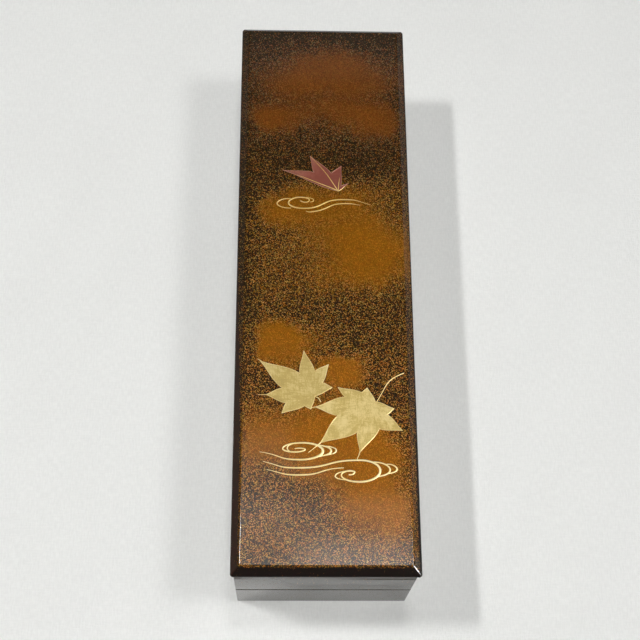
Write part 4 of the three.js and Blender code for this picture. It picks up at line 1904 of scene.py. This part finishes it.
WATER_GOLD = GoldPowder(
    "gold_line", body=(0.90, 0.76, 0.36), bright=(0.98, 0.88, 0.52), dull=(0.82, 0.66, 0.28)
)
FAR_GOLD = GoldPowder(
    "gold_line_far", body=(0.71, 0.49, 0.14), bright=(0.83, 0.63, 0.26), dull=(0.60, 0.40, 0.10)
)
PINK_GOLD = GoldPowder(
    "pink_gold", body=(0.42, 0.20, 0.13), bright=(0.55, 0.30, 0.19), dull=(0.33, 0.14, 0.09)
)
RIM_GOLD = GoldPowder(
    "gold_rim", body=(0.74, 0.58, 0.23), bright=(0.88, 0.74, 0.38), dull=(0.62, 0.46, 0.16)
)
LINE_WORK = (
    LineWork("gold_leaf_rims", (LEFT_LEAF, RIGHT_LEAF), 0.34 * MM, RIM_GOLD),
    LineWork("red_leaf_rim", (RED_LEAF,), 0.238 * MM, PINK_GOLD),
    LineWork("gold_leaf_threads", LEAF_THREADS, 0.5 * MM, RIM_GOLD),
    LineWork("gold_water_upper", UPPER_WATER, 0.73 * MM, WATER_GOLD),
    LineWork("gold_water_lower", LOWER_WATER, 0.73 * MM, WATER_GOLD),
    LineWork("gold_water_far", FAR_WATER, 0.6424 * MM, FAR_GOLD),
    LineWork("red_leaf_veins", RED_VEINS, 0.425 * MM, FAR_GOLD),
)


@dataclass
class Ornament:
    """Gold maple leaves over flowing water, and a red half leaf over a far curl."""

    surface: float
    leaf_thickness: float = 0.10 * MM
    glaze_thickness: float = 0.04 * MM
    glaze_reach: float = 28 * MM
    line_height: float = 0.13 * MM
    height_share: float = 0.4
    curve_steps: int = 14

    def build(self, lacquer: SprinkledLacquer) -> None:
        """Makes the whole ornament.

        Args:
            lacquer: the lacquer of the top, which shows through the red glaze.
        """
        for leaf in (LEFT_LEAF, RIGHT_LEAF):
            gold = GoldPowder(leaf.name, leaf.stalk, leaf.burnish, leaf.contrast).material()
            settle(leaf.plate(gold, self.surface, self.leaf_thickness), "lid")
        glaze = RedGlaze(lacquer, RED_LEAF.stalk, self.glaze_reach).material()
        settle(RED_LEAF.plate(glaze, self.surface, self.glaze_thickness), "lid")
        tree = GoldLineTree()
        golds = {gold: gold.material() for gold in dict.fromkeys(work.gold for work in LINE_WORK)}
        for work in LINE_WORK:
            self.lay(work, tree, golds[work.gold])

    def lay(self, work: LineWork, tree: GoldLineTree, finish: bpy.types.Material) -> None:
        """Lays one piece of line.

        Args:
            work: what it draws.
            tree: the tree that lays a line along a curve.
            finish: its material.
        """
        curve = bpy.data.curves.new(work.name, "CURVE")
        curve.dimensions = "3D"
        curve.resolution_u = self.curve_steps
        for mark in work.marks:
            mark.add_to(curve, self.surface)
        height = min(self.line_height, work.width * self.height_share)
        host = shown("line_path", curve)
        piece = tree.grow(host, work.name, Width=work.width, Height=height, Finish=finish)
        face_outwards(piece.data)
        settle(piece, "lid")


# Lid, base, tray and tools


# Clouds and thin places of the powder on the top; a later patch lies over an earlier one.
TOP_PATCHES = (
    Patch(0, 62, 60, 13, 0.22),
    Patch(0, 131, 60, 11, 0.08),
    Patch(22, -22, 22, 20, 0.32),
    Patch(-20, 4, 18, 20, 0.50),
    Patch(-20, -18, 20, 8, 0.36),
    Patch(-30, -52, 12, 10, 0.32),
    Patch(28, -55, 14, 10, 0.34),
    Patch(-14, -116, 30, 16, 0.50),
    Patch(-30, 104, 14, 16, 0.42),
    Patch(3, 106, 28, 17, 0.97),
    Patch(0, 89, 16, 8, 0.66),
    Patch(0, 71, 26, 8, 0.38),
    Patch(-27, 82, 18, 10, 0.96),
    Patch(20, 82, 25, 10, 0.92),
    Patch(-14, 37, 16, 9, 0.88),
    Patch(6, 35, 24, 14, 0.80),
    Patch(8, 20, 18, 8, 0.72),
    Patch(20, 9, 24, 18, 0.94),
    Patch(-20, -33, 19, 11, 0.98),
    Patch(6, -48, 10, 8, 0.92),
    Patch(-10, -76, 32, 17, 0.95),
    Patch(16, -86, 24, 11, 0.92),
    Patch(21, -103, 17, 17, 0.93),
    Patch(-40, 20, 8, 90, 0.16),
    Patch(-40, -80, 6, 60, 0.44),
    Patch(39, -40, 8, 40, 0.32),
    Patch(39, -100, 8, 36, 0.46),
    Patch(37, -133, 4, 4, 0.10),
    Patch(40, 60, 5, 40, 0.36),
)


def dress(node: str, finish: bpy.types.Material) -> None:
    """Gives a CAD node that stays its material.

    Args:
        node: the CAD node.
        finish: its material.
    """
    for slot in bpy.data.objects[node].material_slots:
        slot.material = finish
    log.info("%s: CAD node, dressed", node)


class Finishes:
    """The finishes that several pieces share."""

    def __init__(self) -> None:
        """Makes the lacquers of the top, the walls and the inside."""
        top = Box.of("lid_top_panel").high.z
        self.lacquer = SprinkledLacquer("sprinkled_lacquer", TOP_PATCHES)
        self.top = self.lacquer.material(top)
        self.walls = SprinkledLacquer("wall_lacquer", density=0.012, grain=0.4 * MM).material()
        self.inside = PlainLacquer().material()


@dataclass
class Lid:
    """The lift-off lid with its ornament."""

    corner_radius: float = 0.5 * MM
    seam_ease: float = 0.45 * MM
    mouth_ease: float = 0.9 * MM

    def build(self, finishes: Finishes, tree: FrameTree) -> None:
        """Makes the top panel, the walls and the ornament.

        Args:
            finishes: the shared finishes.
            tree: the tree that carries a section round.
        """
        panel = TopPanel()
        panel.build(tree, finishes.top, finishes.inside)
        eases = (self.seam_ease, 0.0, 0.0, self.mouth_ease)
        names = ("lid_walls", "lid_wall", "lid", "sprinkled_lacquer")
        walls = FrameRing(*names, self.corner_radius, eases)
        walls.build(tree, finishes.walls, finishes.inside)
        Ornament(panel.box.high.z).build(finishes.lacquer)


@dataclass
class Base:
    """The base: walls, board and the inner lip that the lid fits over."""

    corner_radius: float = 0.5 * MM
    outer_ease: float = 0.45 * MM
    lip_ease: float = 0.9 * MM

    def build(self, finishes: Finishes, tree: FrameTree) -> None:
        """Makes the walls and the lip, and dresses the board.

        Args:
            finishes: the shared finishes.
            tree: the tree that carries a section round.
        """
        eases = (self.outer_ease, self.outer_ease, 0.0, 0.0)
        names = ("base_walls", "base_wall", "base", "sprinkled_lacquer")
        walls = FrameRing(*names, self.corner_radius, eases)
        walls.build(tree, finishes.walls, finishes.inside)
        eases = (0.0, self.lip_ease, self.lip_ease, 0.0)
        lip = FrameRing("inner_lip", "lip", "base", "black_lacquer", 0.0, eases)
        lip.build(tree, finishes.inside, finishes.inside)
        dress("base_board", finishes.inside)


@dataclass
class Tray:
    """The lift-out tray: board, walls, dividers and brush rests."""

    arris: float = 0.18 * MM
    nodes: tuple[str, ...] = (
        "tray_board",
        *around("tray_wall"),
        "tray_divider_long",
        "tray_divider_stone",
        "tray_divider_dropper",
        "brush_rest_near",
        "brush_rest_far",
    )

    def build(self, finishes: Finishes) -> None:
        """Makes each board of the tray.

        Args:
            finishes: the shared finishes.
        """
        for node in self.nodes:
            board = merged_copy(node, f"{node}_lacquered", Arris.EASED, self.arris)
            settle(board, "tray", finishes.inside, [node])


@dataclass
class Tools:
    """The inkstone, the water dropper and the ink stick."""

    well_depth: float = 6.2 * MM
    dropper_arris: float = 0.15 * MM
    stick_arris: float = 0.2 * MM

    def build(self) -> None:
        """Makes the tools, each with a finish that knows its heights."""
        slate = Slate(Box.of("inkstone").high.z, self.well_depth).material()
        foot, top = Box.of("dropper_cup").low.z, Box.of("dropper_top").high.z
        copper = PatinatedCopper(foot, top).material()
        ink = PressedInk(Box.of("ink_stick").low.y).material()
        for node, worked, body, slot, finish, ease in (
            ("inkstone", "honed", "stone", "inkstone", slate, 0.0),
            ("dropper_cup", "hammered", "water_dropper", "copper", copper, self.dropper_arris),
            ("dropper_top", "hammered", "water_dropper", "copper", copper, self.dropper_arris),
            ("ink_stick", "pressed", "stick", "ink", ink, self.stick_arris),
        ):
            arris = Arris.EASED if ease else Arris.CRISP
            settle(merged_copy(node, f"{node}_{worked}", arris, ease), body, finish, [node])


@dataclass
class Brush:
    """A writing brush along Y: bamboo handle, horn ferrule and a pointed bundle of hair.

    Attributes:
        side: the side of the tray that it lies on.
        knot_spacing: from knot to knot of the bamboo, each a ridge of knot_width and knot_rise.
        knot_margin: least distance from a knot to the ferrule.
        knot_steps: points on each side of a knot, and knot_step the distance between them.
        groove_offset: from a knot to the groove beside it.
        butt_radius: radius of the handle at its butt, and handle_radius at the ferrule.
        tenon_step: how much thinner the handle is inside the ferrule.
        web_depth: depth of the ferrule's hollow for the handle, before its solid web.
        core_share: radius of the bundle under the hairs, as a share of theirs.
        hair_overlap: how far the hairs begin inside the ferrule.
    """

    side: str
    knot_spacing: float = 58 * MM
    knot_rise: float = 0.35 * MM
    knot_width: float = 0.9 * MM
    knot_margin: float = 6 * MM
    knot_steps: int = 6
    knot_step: float = 0.5 * MM
    groove_depth: float = 0.12 * MM
    groove_width: float = 0.4 * MM
    groove_offset: float = 1.3 * MM
    butt_radius: float = 2.7 * MM
    butt_round: float = 0.6 * MM
    handle_radius: float = 3.3 * MM
    tenon_step: float = 1.1 * MM
    ferrule_wall: float = 0.9 * MM
    ferrule_ease: float = 0.35 * MM
    web_depth: float = 7 * MM
    web_thickness: float = 1.6 * MM
    core_share: float = 0.93
    hair_radius: float = 0.11 * MM
    hair_overlap: float = 0.6 * MM
    segments: int = 48

    def __post_init__(self) -> None:
        """Takes the brush's places from its CAD nodes."""
        self.handle = Box.of(f"brush_{self.side}_handle")
        self.ferrule = Box.of(f"brush_{self.side}_ferrule")
        self.hair = Box.of(f"brush_{self.side}_hair")
        self.axis = self.ferrule.centre
        self.ferrule_radius = (self.ferrule.high.x - self.ferrule.low.x) / 2
        self.belly = (self.hair.high.x - self.hair.low.x) / 2

    def handle_section(self) -> list[Triple]:
        """Draws the handle, from its rounded butt to its tenon in the ferrule.

        Returns:
            Radius and place of each point, and 0.
        """
        butt, shoulder = self.handle.low.y, self.ferrule.low.y
        points = [(0.0, butt)]
        for k in range(5):
            angle = k / 4 * math.pi / 2
            inset, along = (self.butt_round * (1 - wave(angle)) for wave in (math.sin, math.cos))
            points.append((self.butt_radius - inset, butt + along))
        knots = []
        place = butt + self.knot_spacing / 2
        while place < shoulder - self.knot_margin:
            knots.append(place)
            place += self.knot_spacing
        for knot in knots:
            for k in range(-self.knot_steps, self.knot_steps + 1):
                along = knot + k * self.knot_step
                points.append((self._radius(along, knots), along))
        tenon = self.ferrule_radius - self.tenon_step
        points += [(self.handle_radius, shoulder), (tenon, shoulder)]
        points += [(tenon, self.handle.high.y), (0.0, self.handle.high.y)]
        return [(radius, along, 0.0) for radius, along in points]

    def _radius(self, along: float, knots: Sequence[float]) -> float:
        """Radius of the handle, with a low ridge and a groove at each knot.

        Args:
            along: place along the handle.
            knots: places of the knots.

        Returns:
            The radius.
        """
        share = (along - self.handle.low.y) / (self.ferrule.low.y - self.handle.low.y)
        straight = self.butt_radius + (self.handle_radius - self.butt_radius) * share
        nearest = min((along - knot for knot in knots), key=abs)
        ridge = math.exp(-((nearest / self.knot_width) ** 2))
        groove = math.exp(-(((nearest - self.groove_offset) / self.groove_width) ** 2))
        return straight + self.knot_rise * ridge - self.groove_depth * groove

    def ferrule_section(self) -> list[Triple]:
        """Draws the ferrule, hollow at both ends.

        Returns:
            Radius and place of each point, and 0.
        """
        start, end, outer = self.ferrule.low.y, self.ferrule.high.y, self.ferrule_radius
        inner = outer - self.ferrule_wall
        web = start + self.web_depth
        far = web + self.web_thickness
        ease = self.ferrule_ease
        corners = [(inner, start, 0.0), (outer, start, ease), (outer, end, ease), (inner, end, 0.0)]
        points = [(0.0, web), (inner, web), *eased(corners, False, 5), (inner, far), (0.0, far)]
        return [(radius, along, 0.0) for radius, along in points]

    def hair_section(self) -> list[Triple]:
        """Draws the bundle's core, a little under the hairs that lie on it.

        Returns:
            Radius and place of each point, and 0.
        """
        root, tip, neck = self.ferrule.high.y, self.hair.high.y, self.belly * 0.7
        points = [(0.0, self.hair.low.y), (neck, self.hair.low.y), (neck, root)]
        for along, swell in BristleTree.SWELL[1:-1]:
            points.append((self.belly * swell * self.core_share, root + along * (tip - root)))
        points.append((0.0, tip - 0.8 * MM))
        return [(radius, along, 0.0) for radius, along in points]

    def turned(
        self, tree: TurnedTree, section: Sequence[Triple], part: str, finish: bpy.types.Material
    ) -> bpy.types.Object:
        """One turned part of the brush.

        Args:
            tree: the tree that turns a section.
            section: radius and place of its points.
            part: the part's name.
            finish: its material.

        Returns:
            The part, not yet settled.
        """
        piece = tree.grow(
            outline_host(section),
            f"brush_{self.side}_{part}",
            Axis_X=self.axis.x,
            Axis_Z=self.axis.z,
            Segments=self.segments,
            Finish=finish,
        )
        face_outwards(piece.data)
        piece.data.set_sharp_from_angle(angle=math.radians(50))
        return piece

    def build(self, turning: TurnedTree, bristles: BristleTree) -> None:
        """Makes the handle, the ferrule and the hair.

        Args:
            turning: the tree that turns a section.
            bristles: the tree that lays the hairs.
        """
        body = f"brush_{self.side}"
        bamboo = Bamboo(self.handle.low.y, self.knot_spacing / 2, self.knot_spacing).material()
        handle = self.turned(turning, self.handle_section(), "bamboo", bamboo)
        settle(handle, body, replaced=[f"{body}_handle"])
        ferrule = self.turned(turning, self.ferrule_section(), "horn_ferrule", Horn().material())
        settle(ferrule, body, replaced=[f"{body}_ferrule"])
        hair = BrushHair(self.ferrule.high.y, self.hair.high.y).material()
        core = self.turned(turning, self.hair_section(), "hair_core", hair)
        settle(core, body, replaced=[f"{body}_hair"])
        laid = bristles.grow(
            outline_host([(0, 0, 0)]),
            f"{body}_bristles",
            Axis_X=self.axis.x,
            Axis_Z=self.axis.z,
            Root_Y=self.ferrule.high.y - self.hair_overlap,
            Tip_Y=self.hair.high.y,
            Belly_radius=self.belly,
            Hair_radius=self.hair_radius,
            Finish=hair,
        )
        settle(laid, body)


# Camera, floor and light


@dataclass(frozen=True)
class SoftBox:
    """A rectangular studio light.

    Attributes:
        name: the lamp's name.
        place: its middle, in metres.
        width: its width.
        depth: its depth.
        power: its power in watts.
        aim: the point that it faces.
        mirrored: whether it shows in reflections.
        lit: whether it lights plain surfaces.
    """

    name: str
    place: Triple
    width: float
    depth: float
    power: float
    aim: Triple = (0.0, 0.0, 0.0)
    mirrored: bool = True
    lit: bool = True

    @classmethod
    def overhead(cls, name: str, place: Triple, width: float, depth: float, power: float) -> SoftBox:
        """A lamp that hangs face down and only shows as a gleam in the lacquer."""
        return cls(name, place, width, depth, power, (place[0], place[1], 0.0), lit=False)

    def build(self) -> None:
        """Hangs the light and points it at its aim."""
        lamp = bpy.data.lights.new(self.name, "AREA")
        lamp.shape = "RECTANGLE"
        lamp.size = self.width
        lamp.size_y = self.depth
        lamp.energy = self.power
        made = shown(self.name, lamp)
        made.location = self.place
        facing = Vector(self.aim) - Vector(self.place)
        made.rotation_euler = facing.to_track_quat("-Z", "Y").to_euler()
        made.visible_glossy = self.mirrored
        made.visible_diffuse = self.lit


@dataclass(frozen=True)
class Studio:
    """A camera above the near end, a pale floor and soft light from above and the left.

    Attributes:
        camera_place: the camera's place.
        tilt: its lean from straight down, in degrees, as swing and roll are its other two turns.
        lens: its focal length in millimetres, and sensor the width of its frame.
        floor_half: half the floor's width.
        ambient: brightness of the room.
        backdrop: colour behind the floor.
        lights: the lamps; those that overlap hang at different heights.
    """

    camera_place: Triple = (-19.91 * MM, -232.94 * MM, 573.22 * MM)
    tilt: float = 22.63
    swing: float = 1.847
    roll: float = -0.474
    lens: float = 68.95
    sensor: float = 36.0
    floor_half: float = 0.45
    ambient: float = 0.045
    backdrop: Colour = (0.72, 0.72, 0.71)
    lights: tuple[SoftBox, ...] = (
        SoftBox("left_lamp", (-0.80, 0.12, 1.65), 0.20, 0.07, 10.5, mirrored=False),
        SoftBox("right_lamp", (0.80, -0.20, 1.72), 0.30, 0.30, 6.3),
        SoftBox("back_lamp", (0.05, 0.13, 1.60), 0.16, 0.07, 3.6, mirrored=False),
        SoftBox("camera_side", (-0.06, -0.70, 1.70), 0.30, 0.30, 12.6, mirrored=False),
        SoftBox.overhead("overhead", (-0.09, 0.06, 1.60), 0.62, 0.32, 1.0),
        SoftBox.overhead("overhead_right", (0.11, 0.06, 1.61), 0.22, 0.32, 0.22),
        SoftBox.overhead("overhead_middle", (0.12, 0.06, 1.62), 0.17, 0.32, 0.17),
        SoftBox.overhead("overhead_edge", (-0.09, 0.255, 1.60), 0.62, 0.07, 0.145),
        SoftBox.overhead("overhead_rim", (-0.165, 0.29, 1.61), 0.47, 0.14, 0.105),
        SoftBox.overhead("overhead_fringe", (-0.20, 0.32, 1.62), 0.40, 0.20, 0.145),
        SoftBox("left_gleam", (-0.80, 0.22, 1.72), 0.22, 0.10, 8.6, lit=False),
        SoftBox("right_gleam", (0.80, 0.17, 1.72), 0.20, 0.08, 4.0, lit=False),
        SoftBox("corner_gleam", (1.20, -0.72, 0.62), 0.26, 0.90, 62.0, lit=False),
        SoftBox.overhead("near_gleam", (0.08, 0.14, 1.63), 0.36, 0.09, 0.13),
        SoftBox("far_gleam", (0.04, 1.24, 1.50), 0.60, 0.30, 0.12, (0.04, 0.0, 0.0), lit=False),
    )

    def build(self) -> None:
        """Sets up the camera, the floor, the lights and the surroundings."""
        self.camera()
        self.floor()
        self.surroundings()
        for light in self.lights:
            light.build()
        bpy.context.scene.view_settings.view_transform = "Standard"

    def camera(self) -> None:
        """The camera at the photograph's viewing angle."""
        data = bpy.data.cameras.new("camera")
        data.lens = self.lens
        data.sensor_width = self.sensor
        data.clip_start = 0.01
        data.clip_end = 50
        made = shown("camera", data)
        into_view = (
            Matrix.Rotation(math.radians(self.roll), 3, "Z")
            @ Matrix.Rotation(math.radians(self.swing), 3, "Y")
            @ Matrix.Rotation(math.radians(-self.tilt), 3, "X")
        )
        made.matrix_world = Matrix.Translation(self.camera_place) @ into_view.transposed().to_4x4()
        bpy.context.scene.camera = made

    def floor(self) -> None:
        """The cloth that the box stands on."""
        mesh = bpy.data.meshes.new("floor")
        half = self.floor_half
        corners = [(-half, -half, 0), (half, -half, 0), (half, half, 0), (-half, half, 0)]
        mesh.from_pydata(corners, [], [(0, 1, 2, 3)])
        mesh.materials.append(PaleCloth().material())
        shown("floor", mesh)

    def surroundings(self) -> None:
        """A dim room for light and reflections, and a pale backdrop behind the floor."""
        world = bpy.data.worlds.new("studio")
        world.use_nodes = True
        bpy.context.scene.world = world
        graph = Graph(world.node_tree)
        world.node_tree.nodes.clear()
        room, behind = (
            graph.value("ShaderNodeBackground", 0, None, {"Color": colour, "Strength": strength})
            for colour, strength in (((1.0, 1.0, 1.0), self.ambient), (self.backdrop, 1.0))
        )
        seen = graph.value("ShaderNodeLightPath", "Is Camera Ray")
        chosen = graph.value("ShaderNodeMixShader", 0, None, {0: seen, 1: room, 2: behind})
        output = graph.node("ShaderNodeOutputWorld")
        world.node_tree.links.new(chosen.socket, output.inputs["Surface"])


def main() -> None:
    """Builds the whole box on its frame and sets the scene round it."""
    logging.basicConfig(level=logging.INFO, format="%(name)s %(message)s")
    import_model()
    Studio().build()
    finishes = Finishes()
    tree = FrameTree()
    Lid().build(finishes, tree)
    Base().build(finishes, tree)
    Tray().build(finishes)
    Tools().build()
    turning, bristles = TurnedTree(), BristleTree()
    for side in ("left", "right"):
        Brush(side).build(turning, bristles)


if __name__ == "__main__":
    main()
